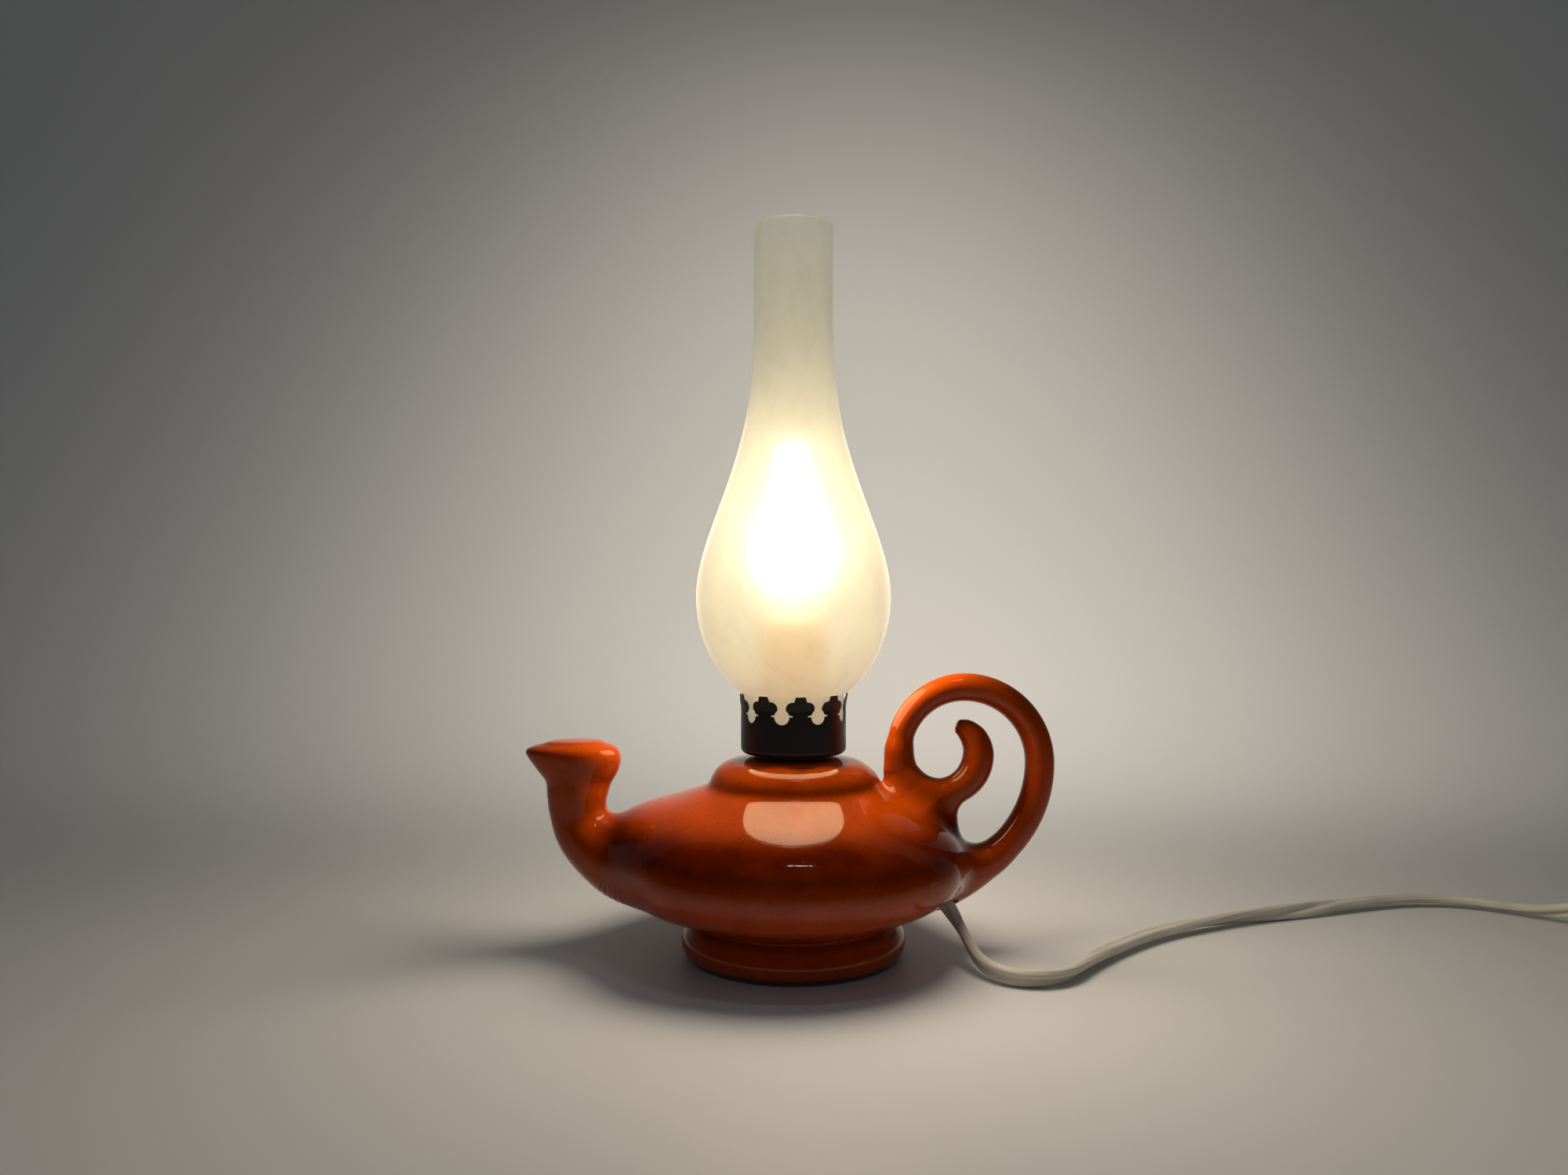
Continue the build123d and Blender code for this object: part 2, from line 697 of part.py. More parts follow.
def bulb_stem():
    """Glass stem that closes the bulb's neck and carries the wires."""
    flare = bulb_skirt_radius - bulb_cap_sheet - bulb_glass_wall - 2 * bulb_glass_play
    stem = Cylinder(flare, bulb_glass_wall, align=BASE) + Cylinder(bulb_stem_radius, bulb_stem_length, align=BASE)
    return Pos(0, 0, bulb_glass_base) * stem


def bulb_lead_wires():
    """Two wires that hold the filament."""
    wires = []
    for side in (-1, 1):
        wire = Cylinder(bulb_wire_diameter / 2, bulb_wire_length, align=BASE)
        wires.append(Pos(side * bulb_wire_spacing / 2, 0, bulb_glass_base + bulb_stem_length) * wire)
    return Compound(children=wires)


def bulb_filament():
    """Bowed filament between the wires' ends."""
    base = bulb_glass_base + bulb_stem_length + bulb_wire_length
    half = bulb_wire_spacing / 2
    shoulder = base + bulb_filament_rise - half
    arch = ThreePointArc((-half, 0, shoulder), (0, 0, shoulder + half), (half, 0, shoulder))
    bow = Wire([Line((-half, 0, base), (-half, 0, shoulder)).edge(), arch.edge(),
                Line((half, 0, shoulder), (half, 0, base)).edge()])
    return sweep(Pos(-half, 0, base) * Circle(bulb_filament_diameter / 2), path=bow)


def cord_tube(name, points):
    """Round tube along straight runs joined by arcs as large as the runs allow."""
    route = [Vector(*point) for point in points]
    radii = []
    for before, here, after in zip(route, route[1:], route[2:]):
        turn = (here - before).get_angle(after - here)
        shorter = min((here - before).length, (after - here).length)
        radii.append(0.45 * shorter / math.tan(math.radians(turn) / 2))
    path = FilletPolyline(*route, radius=radii)
    section = Plane(origin=path @ 0, z_dir=path % 0) * Circle(cord_radius)
    tube = sweep(section, path=path)
    expected = math.pi * cord_radius ** 2 * path.length
    print(name, "length", round(path.length), "volume ratio", round(tube.volume / expected, 4),
          "radii", [round(radius) for radius in radii])
    return tube


def on_switch(along, height):
    """World point on the switch's long axis, by its distance from the switch's middle."""
    direction = heading(switch_heading)
    return (switch_centre[0] + along * direction[0], switch_centre[1] + along * direction[1], height)


def cord_inner():
    """Cord inside the bowl and up the threaded tube to the lamp holder."""
    point, direction = hole_frame()
    start = point - direction * bush_recess
    first = start - direction * cord_inner_first_run
    foot_of_rise = (0, 0, tube_bottom - cord_inner_rise)
    top = (0, 0, holder_base + holder_neck_height + holder_cap_wall)
    return cord_tube("cord_inner", [start, first, *cord_inner_points, foot_of_rise, top])


def cord_run():
    """Cord from the bowl over the table to the switch."""
    point, direction = hole_frame()
    start = point - direction * bush_recess
    level = switch_height / 2
    entry = on_switch(-switch_length / 2 - cord_straight, level)
    end = on_switch(-switch_length / 2 + cord_tuck, level)
    return cord_tube("cord_run", [start, point + direction * cord_exit_run, *cord_run_points, entry, end])


def coil_turns():
    """Edges, end point and end heading of the coil: a spiral in, a climb, and a spiral out."""
    pitch = cord_diameter + coil_gap
    lower = cord_radius + tie_sheet + tie_play
    radii = [coil_radius - 0.5 * pitch * turn for turn in range(coil_half_turns_in)]
    climb_radius = radii[-1] - 0.5 * pitch
    outward = [climb_radius + 0.5 * pitch * (turn + 1) for turn in range(coil_half_turns_out + 1)]
    place = Vector(coil_radius, 0, lower)
    ahead = Vector(0, -1, 0)
    edges = [Line(place - ahead * cord_diameter, place)]
    for radius in radii:
        following = place + ahead.cross(Vector(0, 0, 1)) * 2 * radius
        edges.append(TangentArc(place, following, tangent=ahead))
        place, ahead = following, ahead * -1
    right = ahead.cross(Vector(0, 0, 1))
    slope = 2 * pitch / (math.pi * climb_radius)
    summit = place + right * climb_radius + ahead * climb_radius + Vector(0, 0, pitch / 2)
    summit_ahead = (right + Vector(0, 0, slope)).normalized()
    following = place + right * 2 * climb_radius + Vector(0, 0, pitch)
    edges += biarc(place, ahead, summit, summit_ahead)
    edges += biarc(summit, summit_ahead, following, ahead * -1)
    place, ahead = following, ahead * -1
    for radius in outward[:-1]:
        following = place + ahead.cross(Vector(0, 0, 1)) * 2 * radius
        edges.append(TangentArc(place, following, tangent=ahead))
        place, ahead = following, ahead * -1
    right = ahead.cross(Vector(0, 0, 1))
    turn = math.radians(coil_last_turn)
    centre = place + right * outward[-1]
    following = centre - right * outward[-1] * math.cos(turn) + ahead * outward[-1] * math.sin(turn)
    edges.append(TangentArc(place, following, tangent=ahead))
    ahead = ahead * math.cos(turn) + right * math.sin(turn)
    edges.append(Line(following, following + ahead * cord_diameter))
    return edges, following + ahead * cord_diameter, ahead


def biarc(start, start_ahead, end, end_ahead):
    """Two arcs from one point and heading to another point and heading."""
    chord = end - start
    both = start_ahead + end_ahead
    spread = 2 * (1 - start_ahead.dot(end_ahead))
    along = chord.dot(both)
    reach = (math.sqrt(along ** 2 + spread * chord.dot(chord)) - along) / spread
    first = start + start_ahead * reach
    last = end - end_ahead * reach
    middle = (first + last) * 0.5
    return [TangentArc(start, middle, tangent=start_ahead), TangentArc(middle, end, tangent=last - first)]


def coil_place():
    """Where the coil lies and how it is turned."""
    return Pos(coil_centre[0], coil_centre[1], 0) * Rot(0, 0, coil_start_angle)


def cord_coil():
    """Put-away cord, wound in two layers as one unbroken tube."""
    edges = coil_turns()[0]
    path = Wire([curve.edge() for curve in edges])
    section = Plane(origin=path @ 0, z_dir=path % 0) * Circle(cord_radius)
    tube = sweep(section, path=path)
    count = int(path.length / 4)
    points = [path @ (step / count) for step in range(count + 1)]
    apart = int(2 * math.pi * cord_diameter / 4)
    least = min((points[i] - points[j]).length
                for i in range(len(points)) for j in range(i + apart, len(points)))
    print("cord_coil length", round(path.length), "least gap", round(least - cord_diameter, 2), "volume ratio",
          round(tube.volume / (math.pi * cord_radius ** 2 * path.length), 4))
    return coil_place() * tube


def coil_end():
    """World point and heading where the coil's upper end leaves it."""
    _, point, ahead = coil_turns()
    place = coil_place() * Pos(*point)
    turned_ahead = Vector(*ahead).rotate(Axis.Z, coil_start_angle)
    return Vector(*place.position), turned_ahead


def cord_lead():
    """Short cord from the switch down to the coil's lower end."""
    level = switch_height / 2
    start = on_switch(switch_length / 2 - cord_tuck, level)
    leave = on_switch(switch_length / 2 + cord_straight, level)
    lower = cord_radius + tie_sheet + tie_play
    ahead = Vector(0, -1, 0).rotate(Axis.Z, coil_start_angle)
    end = Vector(*(coil_place() * Pos(coil_radius, cord_diameter, lower)).position)
    return cord_tube("cord_lead", [start, leave, end - ahead * cord_straight, end])


def cord_tail():
    """Short cord from the coil's upper end to the plug."""
    start, ahead = coil_end()
    level = Vector(0, 0, plug_face_height / 2 - start.Z)
    first = start + ahead * cord_straight
    rear = start + ahead * plug_distance + level
    return cord_tube("cord_tail", [start, first, rear - ahead * cord_straight, rear])


def cord_tie():
    """Band that holds the coil's turns together."""
    pitch = cord_diameter + coil_gap
    inner_edge = coil_radius - 0.5 * pitch * coil_half_turns_in - cord_radius - tie_play
    outer_edge = coil_radius - 0.5 * pitch + cord_radius + tie_play
    height = pitch + cord_diameter + 2 * tie_play
    opening = RectangleRounded(outer_edge - inner_edge, height, cord_radius)
    band = RectangleRounded(outer_edge - inner_edge + 2 * tie_sheet, height + 2 * tie_sheet,
                            cord_radius + tie_sheet)
    plane = Plane(origin=(-pitch / 2, (inner_edge + outer_edge) / 2, height / 2 + tie_sheet), x_dir=(0, 1, 0),
                  z_dir=(1, 0, 0))
    return coil_place() * (plane * extrude(band - opening, tie_width / 2, both=True))


def switch_place():
    """Where the switch lies and how it is turned."""
    return Pos(switch_centre[0], switch_centre[1], 0) * Rot(0, 0, switch_heading)


def case_screw_places():
    """Places of the two case screws."""
    x, y = case_screw_place
    return [(x, y), (-x, -y)]


def switch_half():
    """Blank of one half of the switch's case, open side up, before its own cuts."""
    half = switch_height / 2
    blank = extrude(RectangleRounded(switch_length, switch_width, switch_corner), half)
    blank = fillet(blank.faces().sort_by(Axis.Z)[0].edges(), switch_edge)
    blank -= Pos(0, 0, switch_wall) * extrude(
        RectangleRounded(switch_length - 2 * switch_wall, switch_width - 2 * switch_wall,
                         switch_corner - switch_wall), half)
    boss = case_screw_diameter / 2 + case_boss_wall
    for x, y in case_screw_places():
        blank += Pos(x, y, switch_wall / 2) * Cylinder(boss, half - switch_wall / 2, align=BASE)
    entry = Plane(origin=(0, 0, half), z_dir=(1, 0, 0)) * Cylinder(cord_bore, 2 * switch_length)
    return blank - entry


def switch_lower_shell():
    """Lower half of the switch's case, with recesses for the screw heads."""
    shell = switch_half()
    for x, y in case_screw_places():
        shell -= Pos(x, y, 0) * Cylinder(case_screw_diameter / 2 + screw_play, switch_height, align=BASE)
        shell -= Pos(x, y, 0) * Cylinder(case_screw_head / 2 + screw_play, 1.2 * case_screw_head_height, align=BASE)
    return switch_place() * shell


def rocker_pivot():
    """Height of the rocker's pin."""
    return switch_height - rocker_pivot_drop


def switch_upper_shell():
    """Upper half of the switch's case, with the rocker's window and the bosses of its pin."""
    shell = Pos(0, 0, switch_height) * Rot(180, 0, 0) * switch_half()
    shell = mirror(shell, Plane.XZ)
    boss_start = rocker_width / 2 + pin_boss_gap
    boss_half = pin_diameter / 2 + pin_boss_wall
    ceiling = switch_height - switch_wall / 2
    for side in (-1, 1):
        boss = Box(2 * boss_half, pin_boss_length, ceiling - rocker_pivot() + boss_half,
                   align=(Align.CENTER, Align.CENTER, Align.MIN))
        shell += Pos(0, side * (boss_start + pin_boss_length / 2), rocker_pivot() - boss_half) * boss
    shell -= Pos(0, 0, switch_height) * Box(2 * (rocker_reach + rocker_play), rocker_width + 2 * rocker_play,
                                            4 * switch_wall)
    shell -= Pos(0, 0, rocker_pivot()) * Rot(90, 0, 0) * Cylinder(
        pin_diameter / 2 + pin_play, 2 * (boss_start + pin_boss_length))
    for x, y in case_screw_places():
        shell -= Pos(x, y, 0) * Cylinder(case_screw_diameter / 2 + screw_play, case_screw_top + screw_play, align=BASE)
    return switch_place() * shell


def case_screws():
    """Two screws that hold the case together from below."""
    screws = []
    rise = 0.2 * case_screw_head_height
    for x, y in case_screw_places():
        head = Cylinder(case_screw_head / 2, case_screw_head_height, align=BASE)
        shank = Cylinder(case_screw_diameter / 2, case_screw_top - rise, align=BASE)
        screws.append(switch_place() * Pos(x, y, rise) * (head + shank))
    return Compound(children=screws)


def rocker_place():
    """Where the rocker sits, tipped to its on position."""
    return switch_place() * Pos(0, 0, rocker_pivot()) * Rot(0, -rocker_tilt, 0)


def switch_rocker():
    """Rocker with round ends about its pin, a hollowed top and a post for the plunger."""
    high = rocker_crown + rocker_lift
    side = make_face(Polyline((-rocker_reach, -rocker_belly), (rocker_reach, -rocker_belly), (rocker_reach, high),
                              (0, rocker_crown), (-rocker_reach, high), close=True)) & Circle(rocker_reach)
    rocker = extrude(Plane.XZ * side, rocker_width / 2, both=True)
    rocker += Pos(0, 0, -rocker_post_depth) * Box(rocker_post, rocker_post, rocker_post_depth, align=BASE)
    rocker -= Rot(90, 0, 0) * Cylinder(pin_diameter / 2 + pin_play, 2 * rocker_width)
    well = rocker_post_depth - plunger_well_top()
    rocker -= Pos(0, 0, -rocker_post_depth) * Cylinder(plunger_diameter / 2 + plunger_play, well, align=BASE)
    return rocker_place() * rocker


def plunger_well_top():
    """Depth below the pin's axis at which the plunger's well ends."""
    return pin_diameter / 2 + pin_boss_wall / 2


def rocker_pin():
    """Pin in the case that the rocker turns on."""
    length = 2 * (rocker_width / 2 + pin_boss_gap + pin_boss_length)
    return switch_place() * Pos(0, 0, rocker_pivot()) * Rot(90, 0, 0) * Cylinder(pin_diameter / 2, length)


def rocker_plunger():
    """Round-nosed plunger in the rocker's post."""
    nose = rocker_post_depth + plunger_reach
    plunger = Cylinder(plunger_diameter / 2, plunger_length, align=BASE)
    plunger = fillet(plunger.edges().group_by(Axis.Z)[0], plunger_diameter * 0.4)
    return rocker_place() * Pos(0, 0, -nose) * plunger


def plunger_spring():
    """Spring behind the plunger, as a sleeve of its outer size."""
    start = rocker_post_depth + plunger_reach - plunger_length
    sleeve = ring(plunger_diameter / 2, plunger_diameter / 4, start - plunger_well_top())
    return rocker_place() * Pos(0, 0, -start) * sleeve


def bridge_height():
    """Height of the contact bridge's middle."""
    return rocker_pivot() - rocker_post_depth - plunger_reach - bridge_gap - bridge_sheet / 2


def contact_bridge():
    """Brass see-saw that the plunger tips on to the fixed contact."""
    strip = Box(bridge_length, bridge_width, bridge_sheet)
    return switch_place() * Pos(0, 0, bridge_height()) * Rot(0, bridge_tilt, 0) * strip


def contact_bar(start, end, offset, screws):
    """Flat brass bar on the case's floor, with holes for its terminal screws."""
    bar = Pos((start + end) / 2, offset, switch_wall) * Box(end - start, bar_width, bar_thickness, align=BASE)
    for place in screws:
        bar -= Pos(place, offset, switch_wall) * Cylinder(
            switch_terminal_diameter / 2 + screw_play, bar_thickness, align=BASE)
    return bar


def contact_pivot():
    """Brass bar with the knife edge that carries the bridge."""
    bar = contact_bar(-bar_reach, knife_thickness, 0, [-switch_terminal_place])
    top = bridge_height() - bridge_sheet / 2 - bridge_rest_gap
    bar += Pos(0, 0, switch_wall) * Box(knife_thickness, bridge_width, top - switch_wall, align=BASE)
    return switch_place() * bar


def contact_fixed():
    """Brass bar with the pad that the bridge closes on."""
    bar = contact_bar(contact_pad_place - bar_width / 2, bar_reach, 0, [switch_terminal_place])
    drop = (contact_pad_place + contact_pad_radius) * math.sin(math.radians(bridge_tilt))
    top = bridge_height() - drop - bridge_sheet / 2 - bridge_rest_gap
    bar += Pos(contact_pad_place, 0, switch_wall) * Cylinder(contact_pad_radius, top - switch_wall, align=BASE)
    return switch_place() * bar


def neutral_link():
    """Brass bar that leads the other core straight through."""
    return switch_place() * contact_bar(-bar_reach, bar_reach, bar_offset,
                                        [-switch_terminal_place, switch_terminal_place])


def switch_terminal_screws():
    """Four screws that clamp the cores on the bars."""
    screws = []
    for offset in (0, bar_offset):
        for place in (-switch_terminal_place, switch_terminal_place):
            shank = Cylinder(switch_terminal_diameter / 2, bar_thickness, align=BASE)
            head = Pos(0, 0, bar_thickness) * Cylinder(
                switch_terminal_head / 2, switch_terminal_head_height, align=BASE)
            screws.append(switch_place() * Pos(place, offset, switch_wall) * (shank + head))
    return Compound(children=screws)


def plug_place():
    """Where the plug lies: its rear on the cord's end, its pins along +X of this place."""
    start, ahead = coil_end()
    rear = start + ahead * plug_distance
    return Pos(rear.X, rear.Y, plug_face_height / 2) * Rot(0, 0, math.degrees(math.atan2(ahead.Y, ahead.X)))


def across(distance):
    """Plane square to the plug's length, at a distance from its rear."""
    return Plane(origin=(distance, 0, 0), x_dir=(0, 1, 0), z_dir=(1, 0, 0))


def plug_pin_places():
    """Sideways places of the two pins."""
    return [-pin_spacing / 2, pin_spacing / 2]


def plug_body():
    """Moulded plug: a flat block that tapers to the cord."""
    face = RectangleRounded(plug_face_width, plug_face_height, plug_corner)
    rear = RectangleRounded(plug_rear_width, plug_rear_height, plug_rear_corner)
    body = loft([across(0) * rear, across(plug_taper_length) * face], ruled=True)
    body += across(plug_taper_length) * extrude(face, plug_block_length)
    front = plug_taper_length + plug_block_length
    for y in plug_pin_places():
        body -= across(front - plug_pin_root) * Pos(y, 0) * Cylinder(
            plug_pin_core + screw_play, plug_pin_root, align=BASE)
    return plug_place() * body


def plug_pins():
    """Two brass pins, thinner inside the sleeves and the body."""
    front = plug_taper_length + plug_block_length
    pins = []
    for y in plug_pin_places():
        core = Cylinder(plug_pin_core, plug_pin_root + plug_sleeve_length, align=BASE)
        tip = Cylinder(plug_pin_radius, plug_pin_length - plug_sleeve_length, align=BASE)
        tip = Pos(0, 0, plug_pin_root + plug_sleeve_length) * fillet(
            tip.edges().group_by(Axis.Z)[-1], plug_pin_radius * 0.8)
        pins.append(plug_place() * (across(front - plug_pin_root) * Pos(y, 0) * (core + tip)))
    return Compound(children=pins)


def plug_pin_sleeves():
    """Insulating sleeves on the roots of the pins."""
    front = plug_taper_length + plug_block_length
    sleeves = []
    for y in plug_pin_places():
        sleeve = ring(plug_pin_sleeve, plug_pin_core + screw_play, plug_sleeve_length)
        sleeves.append(plug_place() * (across(front) * Pos(y, 0) * sleeve))
    return Compound(children=sleeves)


PIECES = [
    ceramic_body, felt_pad, cord_bush, threaded_tube, tube_end_bush, lower_washer, lock_washer, lower_locknut,
    gallery_spacer, gallery, gallery_nut, chimney, holder_cap, holder_grub_screw, holder_shell, holder_insert,
    holder_terminal_screws, holder_centre_contact, holder_screw_shell, bulb_tip_contact, bulb_insulator, bulb_cap,
    bulb_glass, bulb_stem, bulb_lead_wires, bulb_filament, cord_inner, cord_run, cord_lead, cord_coil, cord_tail,
    cord_tie, switch_lower_shell, switch_upper_shell, case_screws, switch_rocker, rocker_pin, rocker_plunger,
    plunger_spring, contact_bridge, contact_pivot, contact_fixed, neutral_link, switch_terminal_screws, plug_body,
    plug_pins, plug_pin_sleeves,
]

os.makedirs("parts", exist_ok=True)
for piece in PIECES:
    export_step(piece(), "parts/" + piece.__name__ + ".step")
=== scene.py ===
"""Looks of an electric table lamp in the shape of an oil lamp, laid out as an add-on and run as a script."""

import json
import math

import bpy
import numpy as np
from bpy.props import FloatProperty, FloatVectorProperty, PointerProperty
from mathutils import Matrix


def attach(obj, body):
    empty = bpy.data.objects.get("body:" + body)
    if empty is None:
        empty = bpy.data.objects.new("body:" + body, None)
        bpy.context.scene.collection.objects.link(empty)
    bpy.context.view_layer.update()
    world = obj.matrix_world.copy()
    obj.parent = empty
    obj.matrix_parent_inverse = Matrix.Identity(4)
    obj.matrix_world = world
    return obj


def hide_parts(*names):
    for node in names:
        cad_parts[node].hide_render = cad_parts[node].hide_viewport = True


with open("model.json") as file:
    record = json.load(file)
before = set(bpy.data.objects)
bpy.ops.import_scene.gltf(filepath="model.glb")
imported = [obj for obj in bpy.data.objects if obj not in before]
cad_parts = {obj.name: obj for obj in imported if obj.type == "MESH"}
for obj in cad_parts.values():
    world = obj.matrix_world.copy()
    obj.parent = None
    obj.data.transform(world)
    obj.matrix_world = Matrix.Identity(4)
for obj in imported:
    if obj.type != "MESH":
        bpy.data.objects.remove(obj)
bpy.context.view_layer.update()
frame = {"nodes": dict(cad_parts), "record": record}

bl_info = {
    "name": "Oil-lamp shaped table lamp",
    "version": (1, 0, 0),
    "blender": (4, 5, 0),
    "location": "View3D > Sidebar > Table lamp",
    "description": "Glazed bowl, frosted chimney, twin cord and finishes of a table lamp",
    "category": "Object",
}

MM = 0.001

# Bowl's spout, along its bend: centre x, centre z, half height, half depth
SPOUT = np.array([
    (-42.0, 41.0, 16.0, 40.0),
    (-56.0, 40.9, 16.2, 31.5),
    (-67.5, 39.2, 16.5, 23.0),
    (-77.6, 42.9, 13.3, 16.2),
    (-83.6, 48.9, 11.4, 12.5),
    (-86.0, 56.5, 10.8, 10.9),
    (-86.0, 62.0, 10.8, 10.9),
])
# Flared lip on top of it, by height: half widths to the left and right of the spout's axis, half depth
LIP = np.array([
    (50.0, 5.0, 5.0, 5.0),
    (56.0, 8.6, 8.6, 8.8),
    (60.5, 10.2, 10.2, 10.2),
    (64.0, 11.0, 11.7, 11.0),
    (67.5, 12.0, 13.6, 11.6),
    (71.0, 14.6, 15.7, 12.2),
    (75.0, 17.7, 17.1, 12.8),
    (78.0, 19.8, 17.2, 13.1),
    (80.0, 20.6, 16.5, 12.9),
    (81.8, 18.9, 15.0, 11.8),
    (83.2, 14.6, 12.2, 9.4),
])
SPOUT_AXIS = -86.0
LIP_TOP = 84.4
LIP_DOME = 0.004
LIP_EDGE = 3.0
LIP_BLEND = 5.0
# Scroll handle: arcs that follow on from each other (radius, turn), and half thickness by turned angle
HANDLE_ARCS = np.array([(47.0, 86.0), (30.0, 90.0), (26.0, 90.0), (16.0, 90.0), (15.6, 90.0), (11.2, 72.0)])
HANDLE_TOP = (98.1, 75.4)
HANDLE_HALF = np.array([
    (0, 11.6), (10, 10.2), (19, 8.7), (28, 7.2), (43, 6.1), (86, 5.8), (176, 5.6), (266, 5.0),
    (326, 5.4), (416, 6.3), (446, 6.2), (482, 5.4), (505, 4.3), (518, 3.0),
])
LIMB_FOOT = np.array([(42.1, 79.4, 5.0), (42.4, 73.0, 5.4), (45.0, 65.0, 7.6), (49.5, 57.5, 10.0)])
SADDLE = np.array([(45.0, 65.8, 5.6), (59.6, 57.4, 6.0), (58.8, 49.0, 5.6)])
FLATTENING = 1.08
LIMB_BLEND = 4.0
# Handle's blend into the bowl by height, as a share of the joint's softness: wider at its lower root
HANDLE_BLEND = np.array([(26.0, 0.5), (32.0, 0.9), (40.0, 0.9), (48.0, 0.5)])
# Spout and handle are worked out only beyond these x
SPOUT_SIDE = -12.0
HANDLE_SIDE = 25.0
# Pulling the mesh on to the bowl's surface: rounds, longest step, least square of the slope
PULL_ROUNDS = 4
PULL_LONGEST = 2.5
PULL_STEEPNESS = 0.25
# Creases where cast parts meet, which are sponged smooth: x, z and reach, and how the sponge works
CREASES = np.array([(-68.0, 51.0, 11.0), (69.0, 34.5, 9.0)])
SPONGE_STROKES = 60
SPONGE_PULL = 0.6
SPONGE_LEAST = 0.01
# Map of distances to the bowl's profile, by radius and height
MAP_SPACING = 0.5
MAP_AXES = (np.arange(0, 90, MAP_SPACING), np.arange(-6, 96, MAP_SPACING))

# Cord hole in the bowl, and the route of the cord from there to the switch, in millimetres
HOLE = np.array([59.359, -8.342, 21.728])
HOLE_OUT = np.array([0.5538, -0.0778, -0.8290])
HOLE_RADIUS = 4.95
HOLE_DEPTHS = (-6.0, 9.0)
ROUTE_TO_SWITCH = [
    HOLE - 0.6 * HOLE_OUT, HOLE + 8.5 * HOLE_OUT,
    (66.2, -19.5, 10.8), (68.2, -27.6, 6.8), (71.5, -35.6, 4.6), (79.5, -42.5, 3.5), (91.0, -43.5, 3.5),
    (101.5, -37.5, 3.5), (110.5, -24.0, 3.5), (127.0, -5.0, 3.5), (152.0, 17.5, 3.5), (189.0, 36.5, 3.5),
    (221.0, 46.5, 3.5), (250.0, 59.0, 3.5), (278.0, 67.2, 3.5), (302.0, 65.0, 3.5), (319.0, 52.0, 3.5),
    (329.5, 38.5, 5.0), (338.0, 29.0, 9.5), (349.3, 17.7, 9.5),
]
ROUTE_TO_COIL = [(384.7, -17.7, 9.5), (396.0, -29.0, 9.5), (401.07, -46.93, 4.7), (403.66, -56.59, 4.7)]
COIL_CENTRE = (362.0, -75.0)
COIL_TURNED = 15.0
COIL_RADIUS = 45.0
COIL_PITCH = 7.6
COIL_HEIGHTS = (4.7, 12.3)
ROUTE_TO_PLUG = [(337.7, -121.97, 12.3), (311.66, -121.97, 6.85), (301.66, -121.97, 6.85)]
# Twist of the cord in degrees, by length along it
TWIST_TO_SWITCH = np.array([
    (0, 60), (45, 75), (110, 0), (150, 0), (200, 60), (245, 180), (330, 200), (385, 360), (440, 360),
])
TWIST_TO_PLUG = np.array([(0, 0), (20, 0), (60, 90), (1290, 90), (1320, 0), (1400, 0)])

CAMERA_PLACE = (-3.75, -469.7, 145.1)
CAMERA_LENS = 27.05
CAMERA_SENSOR = 36


def linear(code):
    """Linear RGBA of an sRGB hex colour: c / 12.92 for dark values, else ((c + 0.055) / 1.055) ^ 2.4."""
    srgb = np.array([int(code[at:at + 2], 16) for at in (1, 3, 5)]) / 255
    values = np.where(srgb <= 0.04045, srgb / 12.92, ((srgb + 0.055) / 1.055) ** 2.4)
    return (*map(float, values), 1.0)


class LampBowlSettings(bpy.types.PropertyGroup):
    """Sizes and colours of the glazed bowl."""

    belly_radius: FloatProperty(name="Belly radius", description="Largest radius of the bowl",
                                default=0.0686, unit="LENGTH")
    belly_height: FloatProperty(name="Belly height", description="Height of the largest radius",
                                default=0.0365, unit="LENGTH")
    joint_softness: FloatProperty(name="Joint softness", default=0.016, unit="LENGTH",
                                  description="Reach of the blend from bowl to spout and handle")
    skin_spacing: FloatProperty(name="Skin spacing", description="Spacing of the bowl's mesh",
                                default=0.0011, unit="LENGTH")
    glaze: FloatVectorProperty(name="Glaze", description="Colour of the glaze where it lies even",
                               default=linear("#B04006"), size=4, subtype="COLOR")
    # Colour of the painted shade in the band under the shoulder
    painted_shade_colour: FloatVectorProperty(name="Pooled glaze", description="Colour where the glaze runs brown",
                                      default=linear("#571603"), size=4, subtype="COLOR")


class LampChimneySettings(bpy.types.PropertyGroup):
    """Sizes and colours of the frosted chimney."""

    wall: FloatProperty(name="Wall", description="Thickness of the glass", default=0.0017, unit="LENGTH")
    glass: FloatVectorProperty(name="Glass", description="Tint of the frosted glass",
                               default=linear("#E8E5D9"), size=4, subtype="COLOR")
    frost: FloatProperty(name="Frost", description="Roughness that the etching gives the glass",
                         default=0.40, min=0.0, max=1.0, subtype="FACTOR")


class LampCordSettings(bpy.types.PropertyGroup):
    """Sizes and colour of the twin cord."""

    width: FloatProperty(name="Width", description="Width of the flat twin cord",
                         default=0.007, unit="LENGTH")
    thickness: FloatProperty(name="Thickness", description="Thickness of the flat twin cord",
                             default=0.0037, unit="LENGTH")
    sheath: FloatVectorProperty(name="Sheath", description="Colour of the cord's sheath",
                                default=linear("#CFC8B8"), size=4, subtype="COLOR")


class LampStageSettings(bpy.types.PropertyGroup):
    """Light, floor and camera."""

    bulb_power: FloatProperty(name="Bulb power", description="Power of the light in the bulb",
                              default=1.1, unit="POWER")
    bulb_light: FloatVectorProperty(name="Bulb light", description="Colour of the light in the bulb",
                                    default=linear("#FFF1DE"), size=4, subtype="COLOR")
    floor: FloatVectorProperty(name="Floor", description="Colour of the floor and backdrop",
                               default=linear("#D0CDC8"), size=4, subtype="COLOR")
    room_light: FloatProperty(name="Room light", description="Strength of the even light in the room",
                              default=0.17, min=0.0)


def per_metre(size):
    """Scale of a pattern whose features are a size in millimetres apart."""
    return 1 / (size * MM)


